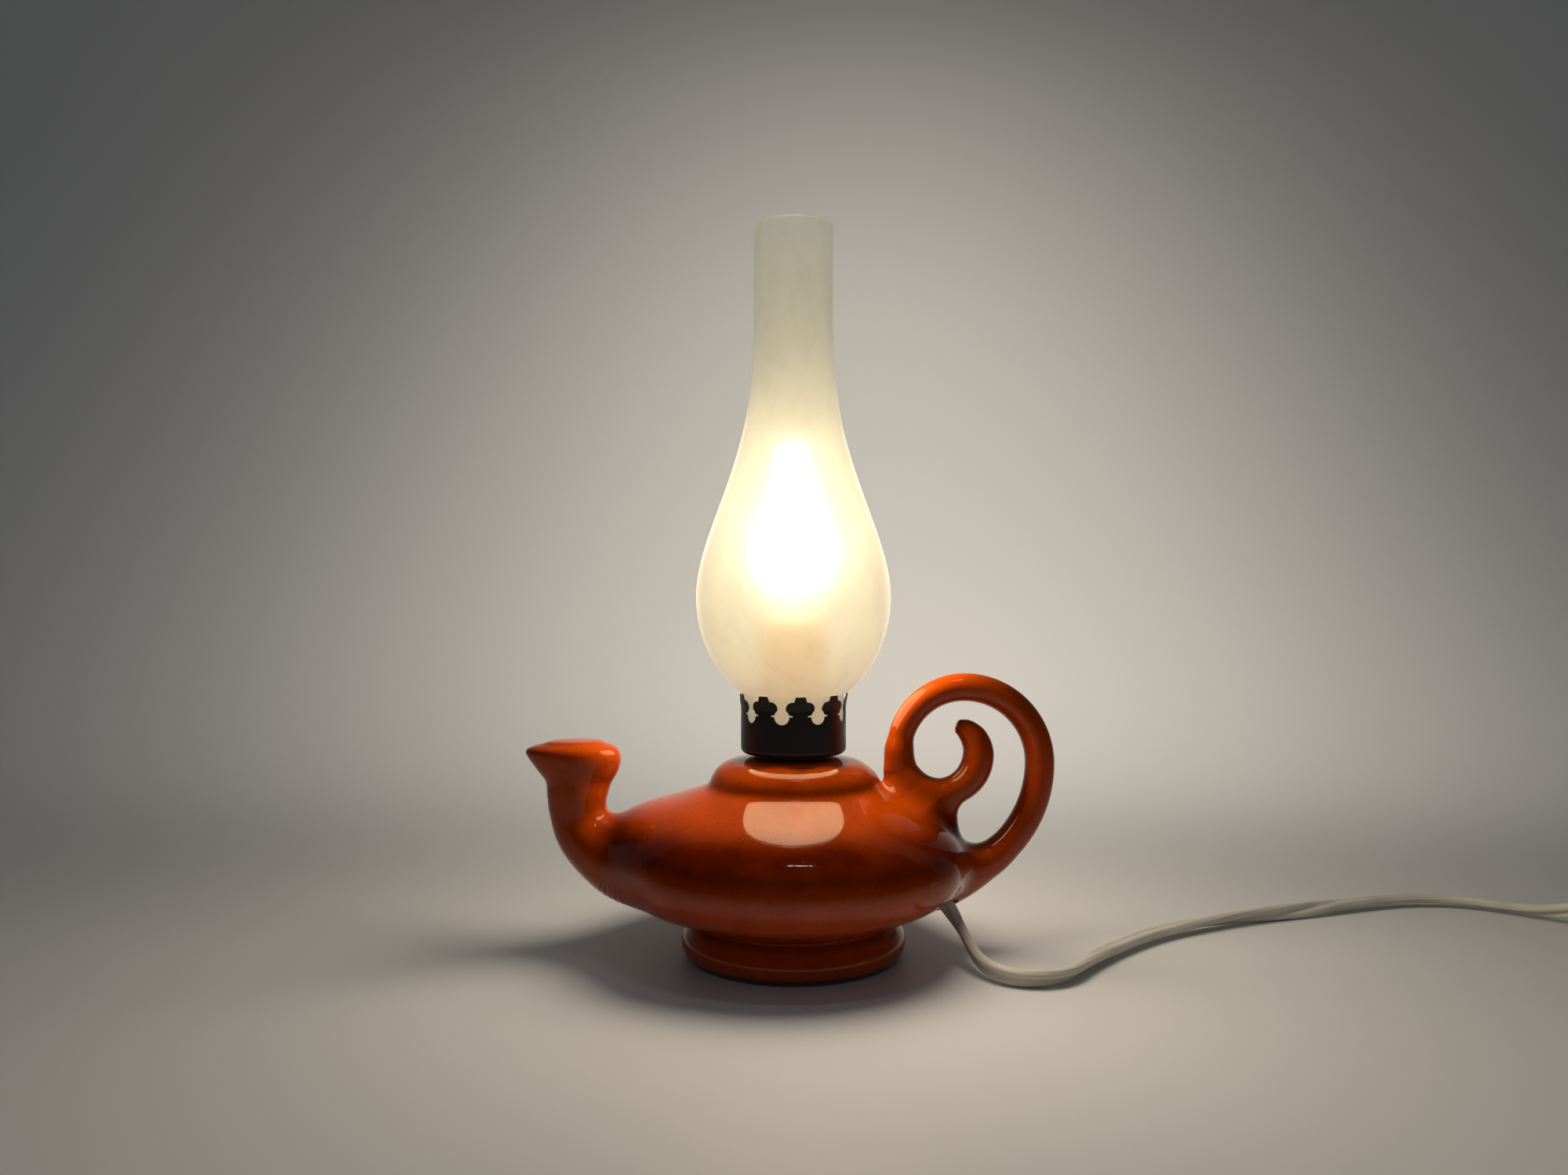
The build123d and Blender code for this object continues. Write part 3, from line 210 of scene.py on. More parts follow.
def connect(tree, node, inputs):
    """Sets or links a node's inputs by name or number."""
    for key, value in inputs.items():
        if isinstance(value, bpy.types.NodeSocket):
            tree.links.new(value, node.inputs[key])
        else:
            node.inputs[key].default_value = value


def add(tree, kind, inputs=None, **settings):
    """Adds a node with its own settings, and sets or links its inputs."""
    node = tree.nodes.new(kind)
    for name, value in settings.items():
        setattr(node, name, value)
    connect(tree, node, inputs or {})
    return node


def blank(name):
    """New material, its node tree, its surface shader and its piece's own coordinates."""
    material = bpy.data.materials.new(name)
    material.use_nodes = True
    tree = material.node_tree
    place = add(tree, "ShaderNodeTexCoord").outputs["Object"]
    return material, tree, tree.nodes["Principled BSDF"], place


def orange_glazed_earthenware(settings):
    """Slip-cast earthenware under a fired orange glaze."""
    # Mirror gloss over a deep orange that turns dark brown in a band of painted shade under the shoulder,
    # with fine specks and pinholes
    material, tree, shader, place = blank("orange_glazed_earthenware")
    cloud = add(tree, "ShaderNodeTexNoise", {"Vector": place, "Scale": per_metre(16), "Detail": 5.0})
    deep = add(tree, "ShaderNodeMapRange", {"Value": cloud.outputs["Fac"], "From Min": 0.35, "From Max": 0.75,
                                            "To Min": 0.0, "To Max": 0.28})
    # The pool attribute is painted shade: a dark brown band below the shoulder, where the bulb's light meets
    # the bowl at a grazing angle
    pool = add(tree, "ShaderNodeAttribute", attribute_name="pool")
    tone_and_shade = add(tree, "ShaderNodeMath", {0: deep.outputs[0], 1: pool.outputs["Fac"]},
               operation="ADD", use_clamp=True)
    body = add(tree, "ShaderNodeMix", {0: tone_and_shade.outputs[0], 6: settings.glaze, 7: settings.painted_shade_colour},
               data_type="RGBA")
    # Specks are about 0.5 mm, drawn a little coarser than the real ones so that they show
    speck = add(tree, "ShaderNodeTexNoise", {"Vector": place, "Scale": per_metre(0.9), "Detail": 1.0})
    dark = add(tree, "ShaderNodeMapRange", {"Value": speck.outputs["Fac"], "From Min": 0.64, "From Max": 0.74,
                                            "To Min": 0.0, "To Max": 0.5})
    colour = add(tree, "ShaderNodeMix", {0: dark.outputs[0], 6: body.outputs[2], 7: linear("#3C1003")},
                 data_type="RGBA")
    wave = add(tree, "ShaderNodeTexNoise", {"Vector": place, "Scale": per_metre(5), "Detail": 1.0})
    skin = add(tree, "ShaderNodeBump", {"Height": wave.outputs["Fac"], "Strength": 0.025, "Distance": 0.0004})
    pinhole = add(tree, "ShaderNodeBump", {"Height": dark.outputs[0], "Strength": 0.10, "Distance": 0.0002,
                                           "Normal": skin.outputs[0]}, invert=True)
    rough = add(tree, "ShaderNodeMapRange", {"Value": cloud.outputs["Fac"], "From Min": 0.3, "From Max": 0.7,
                                             "To Min": 0.02, "To Max": 0.05})
    connect(tree, shader, {"Base Color": colour.outputs[2], "Roughness": rough.outputs[0], "IOR": 1.38,
                           "Normal": pinhole.outputs[0]})
    return material


def frosted_glass(settings):
    """Blown glass, etched dull on its inner face."""
    # Milky and pale, it spreads the bulb into a soft bright patch, and a painted glow, emission in place of
    # the bulb's light carried up the glass, lights it faintly up to the rim
    material, tree, shader, place = blank("frosted_blown_glass")
    streak = add(tree, "ShaderNodeTexNoise", {"Vector": place, "Scale": per_metre(22), "Detail": 6.0,
                                              "Roughness": 0.65})
    frost = add(tree, "ShaderNodeMapRange", {"Value": streak.outputs["Fac"], "From Min": 0.3, "From Max": 0.7,
                                             "To Min": settings.frost - 0.05,
                                             "To Max": settings.frost + 0.05})
    # Finger smears run up and down the glass, about 9 mm wide
    tall = add(tree, "ShaderNodeMapping", {"Vector": place, "Scale": (1.0, 1.0, 0.35)})
    smear = add(tree, "ShaderNodeTexNoise", {"Vector": tall.outputs[0], "Scale": per_metre(9), "Detail": 7.0,
                                             "Roughness": 0.7, "Distortion": 0.8})
    share = add(tree, "ShaderNodeMapRange", {"Value": smear.outputs["Fac"], "From Min": 0.5, "From Max": 0.8,
                                             "To Min": 0.0, "To Max": 0.5})
    colour = add(tree, "ShaderNodeMix", {0: share.outputs[0], 6: settings.glass, 7: linear("#C9C5B2")},
                 data_type="RGBA")
    # The emission is a painted glow: it stands in for the bulb's light spread through the glass
    connect(tree, shader, {"Base Color": colour.outputs[2], "Roughness": frost.outputs[0], "IOR": 1.35,
                           "Transmission Weight": 0.6, "Subsurface Weight": 1.0,
                           "Subsurface Radius": (1.0, 0.97, 0.9), "Subsurface Scale": 0.0025,
                           "Emission Color": linear("#F0ECDA"), "Emission Strength": 0.115})
    return material


def mottled(name, colours, patch, share, gloss, grain, others=None):
    """Material of two colours in patches, with uneven gloss and a fine grain.

    The patch has a size in millimetres and a detail. Share and gloss give a range of the patches' noise and
    the range that it stands for, of the second colour's share or of the roughness. The grain has a size in
    millimetres, a strength and a depth in metres.
    """
    material, tree, shader, place = blank(name)
    size, detail = patch
    cloud = add(tree, "ShaderNodeTexNoise", {"Vector": place, "Scale": per_metre(size), "Detail": detail})
    ends = ("From Min", "From Max", "To Min", "To Max")
    second, rough = (add(tree, "ShaderNodeMapRange", {"Value": cloud.outputs["Fac"], **dict(zip(ends, span))})
                     for span in (share, gloss))
    colour = add(tree, "ShaderNodeMix", {0: second.outputs[0], 6: colours[0], 7: colours[1]},
                 data_type="RGBA")
    size, strength, depth = grain
    fine = add(tree, "ShaderNodeTexNoise", {"Vector": place, "Scale": per_metre(size), "Detail": 2.0})
    skin = add(tree, "ShaderNodeBump", {"Height": fine.outputs["Fac"], "Strength": strength,
                                        "Distance": depth})
    connect(tree, shader, {"Base Color": colour.outputs[2], "Roughness": rough.outputs[0],
                           "Normal": skin.outputs[0], **(others or {})})
    return material


def lacquered_sheet_steel():
    """Pressed sheet steel under black satin lacquer."""
    # Nearly black with a soft warm sheen, a little duller in patches where dust has settled
    return mottled("black_lacquered_sheet_steel", (linear("#0D0B0A"), linear("#221B17")), patch=(6, 6.0),
                   share=(0.0, 1.0, 0.0, 1.0), gloss=(0.3, 0.7, 0.30, 0.48), grain=(0.8, 0.15, 0.0002))


def soft_pvc_sheath(settings):
    """Extruded soft PVC of the twin cord."""
    # Ivory grey with a waxy sheen, dulled in patches by handling, with a faint grain
    return mottled("ivory_extruded_pvc", (settings.sheath, linear("#A89F8C")), patch=(18, 5.0),
                   share=(0.35, 0.75, 0.0, 0.55), gloss=(0.3, 0.7, 0.32, 0.48), grain=(1.2, 0.08, 0.0003),
                   others={"IOR": 1.53})


def moulded_plastic(name, code, worn_code, roughness, grain_size):
    """Moulded plastic or pressed steatite, with the fine texture of its mould."""
    # Even colour, slightly uneven gloss, and a grain that breaks up highlights
    return mottled(name, (linear(code), linear(worn_code)), patch=(9, 4.0), share=(0.4, 0.8, 0.0, 0.6),
                   gloss=(0.3, 0.7, roughness - 0.06, roughness + 0.06), grain=(grain_size, 0.18, 0.0002))


def worked_metal(name, code, stained_code, roughness, line_size):
    """Turned or drawn metal with fine tool marks and light staining."""
    # Bright, with patches that have gone dull
    return mottled(name, (linear(code), linear(stained_code)), patch=(4, 5.0), share=(0.45, 0.75, 0.0, 0.7),
                   gloss=(0.3, 0.8, roughness, roughness + 0.2), grain=(line_size, 0.12, 0.0001),
                   others={"Metallic": 1.0})


def wool_felt():
    """Needled felt under the foot."""
    # Dull, fuzzy and unevenly dyed
    material, tree, shader, place = blank("brown_needled_felt")
    fibre = add(tree, "ShaderNodeTexNoise", {"Vector": place, "Scale": per_metre(1.5), "Detail": 8.0,
                                             "Distortion": 1.5})
    colour = add(tree, "ShaderNodeMix", {0: fibre.outputs["Fac"], 6: linear("#2E2019"), 7: linear("#5A4536")},
                 data_type="RGBA")
    nap = add(tree, "ShaderNodeBump", {"Height": fibre.outputs["Fac"], "Strength": 0.6, "Distance": 0.0005})
    connect(tree, shader, {"Base Color": colour.outputs[2], "Roughness": 0.95, "Normal": nap.outputs[0],
                           "Sheen Weight": 0.4})
    return material


def opal_bulb_glass(settings):
    """Opal-coated bulb, lit from inside."""
    # Far brighter than anything near it, a little less at its neck where the coat is thin
    material, tree, shader, place = blank("opal_coated_bulb_glass")
    height = add(tree, "ShaderNodeSeparateXYZ", {0: place}).outputs["Z"]
    glow = add(tree, "ShaderNodeMapRange", {"Value": height, "From Min": 0.132, "From Max": 0.155,
                                            "To Min": 0.5, "To Max": 4.8})
    connect(tree, shader, {"Base Color": linear("#FFF6E6"), "Roughness": 0.5,
                           "Emission Color": settings.bulb_light, "Emission Strength": glow.outputs[0]})
    return material


def glowing_tungsten(settings):
    """Drawn tungsten wire, white hot."""
    # Seen only when the bulb's glass is cut open
    material, tree, shader, place = blank("glowing_tungsten_wire")
    turn = add(tree, "ShaderNodeTexNoise", {"Vector": place, "Scale": per_metre(0.5)})
    heat = add(tree, "ShaderNodeMapRange", {"Value": turn.outputs["Fac"], "To Min": 10.0, "To Max": 24.0})
    connect(tree, shader, {"Base Color": linear("#8A8A8A"), "Roughness": 0.4, "Metallic": 1.0,
                           "Emission Color": settings.bulb_light, "Emission Strength": heat.outputs[0]})
    return material


def pale_paper(settings):
    """Matt paper sweep that the lamp stands on."""
    # Pale, slightly warm and without gloss
    material, tree, shader, place = blank("pale_matt_paper")
    fibre = add(tree, "ShaderNodeTexNoise", {"Vector": place, "Scale": per_metre(60), "Detail": 6.0})
    tone = add(tree, "ShaderNodeMapRange", {"Value": fibre.outputs["Fac"], "To Min": 0.45, "To Max": 0.60})
    connect(tree, shader, {"Base Color": settings.floor, "Roughness": tone.outputs[0],
                           "Specular IOR Level": 0.3})
    return material


def grid_faces(rows, columns, rows_close=False, columns_close=True):
    """Quads of a grid whose rows and columns close on themselves where asked."""
    index = np.arange(rows * columns).reshape(rows, columns)
    above = np.roll(index, -1, axis=0)
    if not rows_close:
        index, above = index[:-1], above[:-1]
    quads = np.stack([index, np.roll(index, -1, axis=1), np.roll(above, -1, axis=1), above], axis=-1)
    if not columns_close:
        quads = quads[:, :-1]
    return quads.reshape(-1, 4)


def unit(vectors):
    """Vectors of length 1 along the given ones."""
    return vectors / np.maximum(np.linalg.norm(vectors, axis=1), 1e-9)[:, None]


def lengths_along(points):
    """Length of a line up to each of its points."""
    return np.concatenate([[0], np.cumsum(np.linalg.norm(np.diff(points, axis=0), axis=1))])


def smooth_ramp(value, start, end):
    """Rises from 0 at the start to 1 at the end, level at both: t^2 (3 - 2 t)."""
    t = np.clip((value - start) / (end - start), 0, 1)
    return t**2 * (3 - 2 * t)


def capped(path, rings):
    """Rings along a path, closed by a point at each end."""
    ends = np.repeat(path[[0, -1], None, :], rings.shape[1], axis=1)
    return np.concatenate([ends[:1], rings, ends[1:]])


def revolve(profile, steps):
    """Surface of revolution: (r cos a, r sin a, z) for each profile point (r, z) and angle a."""
    angle = np.linspace(0, 2 * np.pi, steps, endpoint=False)
    radius, height = profile[:, :1], profile[:, 1:]
    grid = [radius * np.cos(angle), radius * np.sin(angle), height + 0 * angle]
    return np.stack(grid, axis=-1)


def oval_tube(path, normals, half_height, half_depth, steps=48):
    """Tube along a path in the XZ plane: c + h cos a * n + d sin a * y, closed by a point at each end."""
    angle = np.linspace(0, 2 * np.pi, steps, endpoint=False)[None, :, None]
    across = half_height[:, None, None] * np.cos(angle) * normals[:, None, :]
    deep = half_depth[:, None, None] * np.sin(angle) * np.array([0.0, 1.0, 0.0])
    return capped(path, path[:, None, :] + across + deep)


def new_piece(name, vertices, faces):
    """Smooth mesh object at the origin, from vertices in millimetres."""
    mesh = bpy.data.meshes.new(name)
    mesh.from_pydata((vertices.reshape(-1, 3) * MM).tolist(), [], faces.tolist())
    mesh.update()
    mesh.shade_smooth()
    piece = bpy.data.objects.new(name, mesh)
    bpy.context.collection.objects.link(piece)
    return piece


def final_mesh(piece):
    """New mesh of a curve, or of a piece with its modifiers applied."""
    depsgraph = bpy.context.evaluated_depsgraph_get()
    return bpy.data.meshes.new_from_object(piece.evaluated_get(depsgraph))


def read_vectors(items, name):
    """Vectors of a mesh's vertices or normals, as an array."""
    values = np.empty(len(items) * 3)
    items.foreach_get(name, values)
    return values.reshape(-1, 3)


def settle(piece):
    """Applies a piece's modifiers to its mesh."""
    mesh = final_mesh(piece)
    old = piece.data
    piece.modifiers.clear()
    piece.data = mesh
    bpy.data.meshes.remove(old)
    mesh.name = piece.name


def arc(start, middle, end, count):
    """Points of the circle through three points, from the first to the last, at even angles."""
    start, middle, end = (complex(*point) for point in (start, middle, end))
    bend = (end - start) / (middle - start)
    centre = start + (middle - start) * (abs(bend) ** 2 - bend) / (bend.conjugate() - bend)
    turn = np.angle((end - centre) / (start - centre))
    points = centre + (start - centre) * np.exp(1j * np.linspace(0, turn, count))
    return np.stack([points.real, points.imag], axis=-1)


def fair_curve(points, headings, counts):
    """Smoothest cubic curve through points with a unit heading at each end, by chord length.

    The slopes at the points solve the usual three-term equations for even curvature, and each span is a cubic
    with the slopes at its two ends.
    """
    points = np.array(points, dtype=float)
    span = np.linalg.norm(np.diff(points, axis=0), axis=1)
    size = len(points)
    matrix = np.eye(size)
    right = np.zeros_like(points)
    right[0], right[-1] = headings
    inner = np.arange(1, size - 1)
    matrix[inner, inner - 1] = span[1:]
    matrix[inner, inner] = 2 * (span[:-1] + span[1:])
    matrix[inner, inner + 1] = span[:-1]
    rise = np.diff(points, axis=0) / span[:, None]
    right[inner] = 3 * (span[1:, None] * rise[:-1] + span[:-1, None] * rise[1:])
    slope = np.linalg.solve(matrix, right)
    t = np.linspace(0, 1, counts)[None, :, None]
    p, q = points[:-1, None, :], points[1:, None, :]
    m, n = slope[:-1, None, :] * span[:, None, None], slope[1:, None, :] * span[:, None, None]
    curve = ((2 * t**3 - 3 * t**2 + 1) * p + (t**3 - 2 * t**2 + t) * m
             + (3 * t**2 - 2 * t**3) * q + (t**3 - t**2) * n)
    return np.concatenate([curve[:, :-1].reshape(-1, points.shape[1]), points[-1:]])


def direction(angle):
    """Unit vector at an angle in degrees from the first axis."""
    return np.array([math.cos(math.radians(angle)), math.sin(math.radians(angle))])


def bowl_profile(settings):
    """Outer profile (r, z) of the bowl in millimetres: foot, underside, shoulder, collar and crown.

    The curves are laid end to end, spaced evenly, and averaged over about 2 mm, as glaze softens each groove.
    """
    belly = (settings.belly_radius / MM, settings.belly_height / MM)
    base, instep, groove, top = 1.5, (37.2, 14.0), (33.4, 66.4), 78.0
    foot = arc((43.4, base), (44.6, 5.0), instep, 24)
    lower = fair_curve([instep, belly], [direction(24.0), (0, 1)], 40)
    upper = fair_curve([belly, groove], [(0, 1), direction(148.5)], 40)
    collar = arc(groove, (30.4, 73.4), (23.0, 76.6), 20)
    rough = np.concatenate([[(38.0, base)], foot, lower[1:], upper[1:], collar[1:],
                            [(17.0, top), (0.0, top)]])
    along = lengths_along(rough)
    even = np.arange(0, along[-1], 0.5)
    fine = np.stack([np.interp(even, along, rough[:, axis]) for axis in (0, 1)], axis=-1)
    half, spread = 9, 3.0
    weight = np.exp(-0.5 * (np.arange(-half, half + 1) / spread) ** 2)
    weight /= weight.sum()
    padded = np.pad(fine, ((half, half), (0, 0)), mode="edge")
    soft = np.stack([np.convolve(padded[:, axis], weight, mode="valid") for axis in (0, 1)], axis=-1)
    soft[-1] = (0.0, top)
    return np.concatenate([[(0.0, base)], soft])


def spout_path():
    """Centres (x, z), half heights and half depths along the spout: one smooth curve in four dimensions."""
    curve = fair_curve(SPOUT, [(-1, 0, 0, 0), (0, 1, 0, 0)], 9)
    return curve[:, :2], curve[:, 2], curve[:, 3]


def lip_curve():
    """Height, half widths and half depth of the spout's lip, as one smooth curve in four dimensions."""
    return fair_curve(LIP, [(0.8, 0.35, 0.35, 0.35), (0.28, -0.72, -0.5, -0.4)], 9)


def handle_path():
    """Centres (x, z) and half thickness along the scroll: arcs that share their tangents, by turned angle.

    Each arc's centre lies on the last radius, shifted by the difference of the two radii.
    """
    radius, turn = HANDLE_ARCS.T
    start = np.concatenate([[0], np.cumsum(turn)])
    base = start - HANDLE_ARCS[0, 1]
    step = (radius[:-1] - radius[1:])[:, None] * np.stack([np.cos(np.radians(base[1:-1])),
                                                          np.sin(np.radians(base[1:-1]))], axis=-1)
    first = np.array([[HANDLE_TOP[0] - radius[0], HANDLE_TOP[1]]])
    centres = first + np.concatenate([[(0, 0)], np.cumsum(step, axis=0)])
    turned = np.linspace(0, start[-1], 220)
    which = np.clip(np.searchsorted(start, turned, side="right") - 1, 0, len(radius) - 1)
    angle = np.radians(turned - HANDLE_ARCS[0, 1])
    points = centres[which] + radius[which, None] * np.stack([np.cos(angle), np.sin(angle)], axis=-1)
    return points, np.interp(turned, HANDLE_HALF[:, 0], HANDLE_HALF[:, 1])


def nearest(points, path):
    """For each point: the squared distance to each straight part of a path, and the share along that part."""
    start, part = path[:-1], np.diff(path, axis=0)
    away = points[:, None, :] - start[None]
    share = np.clip((away * part).sum(-1) / (part * part).sum(-1), 0, 1)
    gap = away - share[..., None] * part
    return (gap * gap).sum(-1), share


def profile_distance(points, profile):
    """Signed distance from points (r, z) to a closed profile, negative where a ray crosses it oddly."""
    closed = np.concatenate([profile, profile[:1]])
    gap, _ = nearest(points, closed)
    low, high = closed[:-1], closed[1:]
    y = points[:, None, 1]
    spans = (low[:, 1] > y) != (high[:, 1] > y)
    rise = np.where(high[:, 1] == low[:, 1], 1.0, high[:, 1] - low[:, 1])
    crossing = low[:, 0] + (y - low[:, 1]) * (high[:, 0] - low[:, 0]) / rise
    inside = (spans & (points[:, None, 0] < crossing)).sum(1) % 2 == 1
    return np.sqrt(gap.min(1)) * np.where(inside, -1, 1)


def tube_distance(points, path, half_height, half_depth):
    """Rough signed distance to an oval tube: (sqrt((d / h)^2 + (y / w)^2) - 1) h at its nearest place."""
    gap, share = nearest(points[:, [0, 2]], path)
    part = gap.argmin(1)
    row = np.arange(len(points))
    high = half_height[part] + share[row, part] * np.diff(half_height)[part]
    deep = half_depth[part] + share[row, part] * np.diff(half_depth)[part]
    return (np.sqrt(gap[row, part] / high**2 + (points[:, 1] / deep) ** 2) - 1) * high


def soft_union(a, b, reach):
    """Smooth least of two distances: min(a, b) - h^2 k / 4, with h = 1 - |a - b| / k or nought."""
    near = np.maximum(reach - np.abs(a - b), 0) / reach
    return np.minimum(a, b) - near * near * reach / 4


def lip_distance(points, lip):
    """Rough signed distance to the lip: an oval at each height, wider to one side, under a domed top."""
    left, right, deep = (np.interp(points[:, 2], lip[:, 0], column) for column in lip.T[1:])
    across = points[:, 0] - SPOUT_AXIS
    wide = np.where(across < 0, left, right)
    side = (np.sqrt((across / wide) ** 2 + (points[:, 1] / deep) ** 2) - 1) * np.minimum(wide, deep)
    top = points[:, 2] - LIP_TOP + LIP_DOME * (across**2 + points[:, 1] ** 2)
    return np.maximum(-soft_union(-side, -top, LIP_EDGE), lip[0, 0] - points[:, 2])


def distance_map(profile):
    """Distances to the profile on a grid of (r, z), worked out once."""
    places = np.stack(np.meshgrid(*MAP_AXES, indexing="ij"), axis=-1)
    return in_parts(profile_distance, places.reshape(-1, 2), profile).reshape(places.shape[:2])


def read_map(values, places):
    """Reads a grid of distances between its points, by shares of the four nearest ones."""
    low = np.array([axis[0] for axis in MAP_AXES])
    at = np.clip((places - low) / MAP_SPACING, 0, np.array(values.shape) - 1.001)
    (i, j), (u, v) = at.astype(int).T, (at % 1).T
    return ((1 - u) * ((1 - v) * values[i, j] + v * values[i, j + 1])
            + u * ((1 - v) * values[i + 1, j] + v * values[i + 1, j + 1]))


def bowl_distance(points, shape, reach):
    """Signed distance to the whole bowl: profile, spout and scroll handle run softly into each other."""
    radius = np.hypot(points[:, 0], points[:, 1])
    value = read_map(shape["map"], np.stack([radius, points[:, 2]], axis=-1))
    left = points[:, 0] < SPOUT_SIDE
    spot = points[left]
    spout = soft_union(tube_distance(spot, *shape["spout"]), lip_distance(spot, shape["lip"]), LIP_BLEND)
    value[left] = soft_union(value[left], spout, reach)
    right = points[:, 0] > HANDLE_SIDE
    spot = points[right]
    scroll, limb, saddle = (tube_distance(spot, *shape[name]) for name in ("handle", "limb", "saddle"))
    handle = soft_union(scroll, soft_union(limb, saddle, LIMB_BLEND), LIMB_BLEND)
    value[right] = soft_union(value[right], handle, reach * np.interp(spot[:, 2], *HANDLE_BLEND.T))
    return value


def in_parts(function, points, *rest, size=6000):
    """Runs a function of points on a few thousand of them at a time, to keep its arrays small."""
    return np.concatenate([function(points[at:at + size], *rest) for at in range(0, len(points), size)])


def vertex_places(mesh):
    """Places of a mesh's vertices in millimetres."""
    return read_vectors(mesh.vertices, "co") / MM


def distance_and_slope(points, shape, reach, step=0.4):
    """Distance to the bowl, and its slope from small steps both ways along each axis."""
    here = in_parts(bowl_distance, points, shape, reach)
    steps = [in_parts(bowl_distance, points + step * axis, shape, reach)
             - in_parts(bowl_distance, points - step * axis, shape, reach) for axis in np.eye(3)]
    return here, np.stack(steps, axis=-1) / (2 * step)


def bowl_shape(settings):
    """Profile and tubes that make up the bowl."""
    handle, half = handle_path()
    profile = bowl_profile(settings)
    return {
        "profile": profile,
        "map": distance_map(profile),
        "spout": spout_path(),
        "lip": lip_curve(),
        "handle": (handle, half, half * FLATTENING),
        "limb": (LIMB_FOOT[:, :2], LIMB_FOOT[:, 2], LIMB_FOOT[:, 2] * FLATTENING),
        "saddle": (SADDLE[:, :2], SADDLE[:, 2], SADDLE[:, 2]),
    }


def tube_surface(path, half_height, half_depth):
    """Oval tube along a path in the XZ plane, its normals square to the path."""
    along = unit(np.gradient(path, axis=0))
    zero = np.zeros(len(path))
    centres = np.stack([path[:, 0], zero, path[:, 1]], axis=-1)
    normals = np.stack([-along[:, 1], zero, along[:, 0]], axis=-1)
    return oval_tube(centres, normals, half_height, half_depth)


def bowl_start(shape):
    """Rough surfaces of the bowl's parts, overlapping, as one list of vertices and faces."""
    lip = shape["lip"]
    zero = np.zeros(len(lip))
    middle = np.stack([SPOUT_AXIS + (lip[:, 2] - lip[:, 1]) / 2, zero, lip[:, 0]], axis=-1)
    normals = np.repeat([(-1.0, 0.0, 0.0)], len(lip), axis=0)
    grids = [revolve(shape["profile"], 180),
             oval_tube(middle, normals, (lip[:, 1] + lip[:, 2]) / 2, lip[:, 3])]
    grids += [tube_surface(*shape[name]) for name in ("spout", "handle", "limb", "saddle")]
    faces = []
    count = 0
    for grid in grids:
        faces.append(grid_faces(*grid.shape[:2]) + count)
        count += grid.shape[0] * grid.shape[1]
    return np.concatenate([grid.reshape(-1, 3) for grid in grids]), np.concatenate(faces)


def cord_hole():
    """Cylinder that cuts the cord hole: circles about the hole's direction, closed by a point at each end."""
    side = np.cross(HOLE_OUT, (0.0, 1.0, 0.0))
    side /= np.linalg.norm(side)
    other = np.cross(HOLE_OUT, side)
    angle = np.linspace(0, 2 * np.pi, 64, endpoint=False)[None, :, None]
    rim = HOLE_RADIUS * (np.cos(angle) * side + np.sin(angle) * other)
    depth = np.repeat(HOLE_DEPTHS, 2)[:, None, None]
    width = np.array([0.0, 1.0, 1.0, 0.0])[:, None, None]
    return HOLE + depth * HOLE_OUT + width * rim


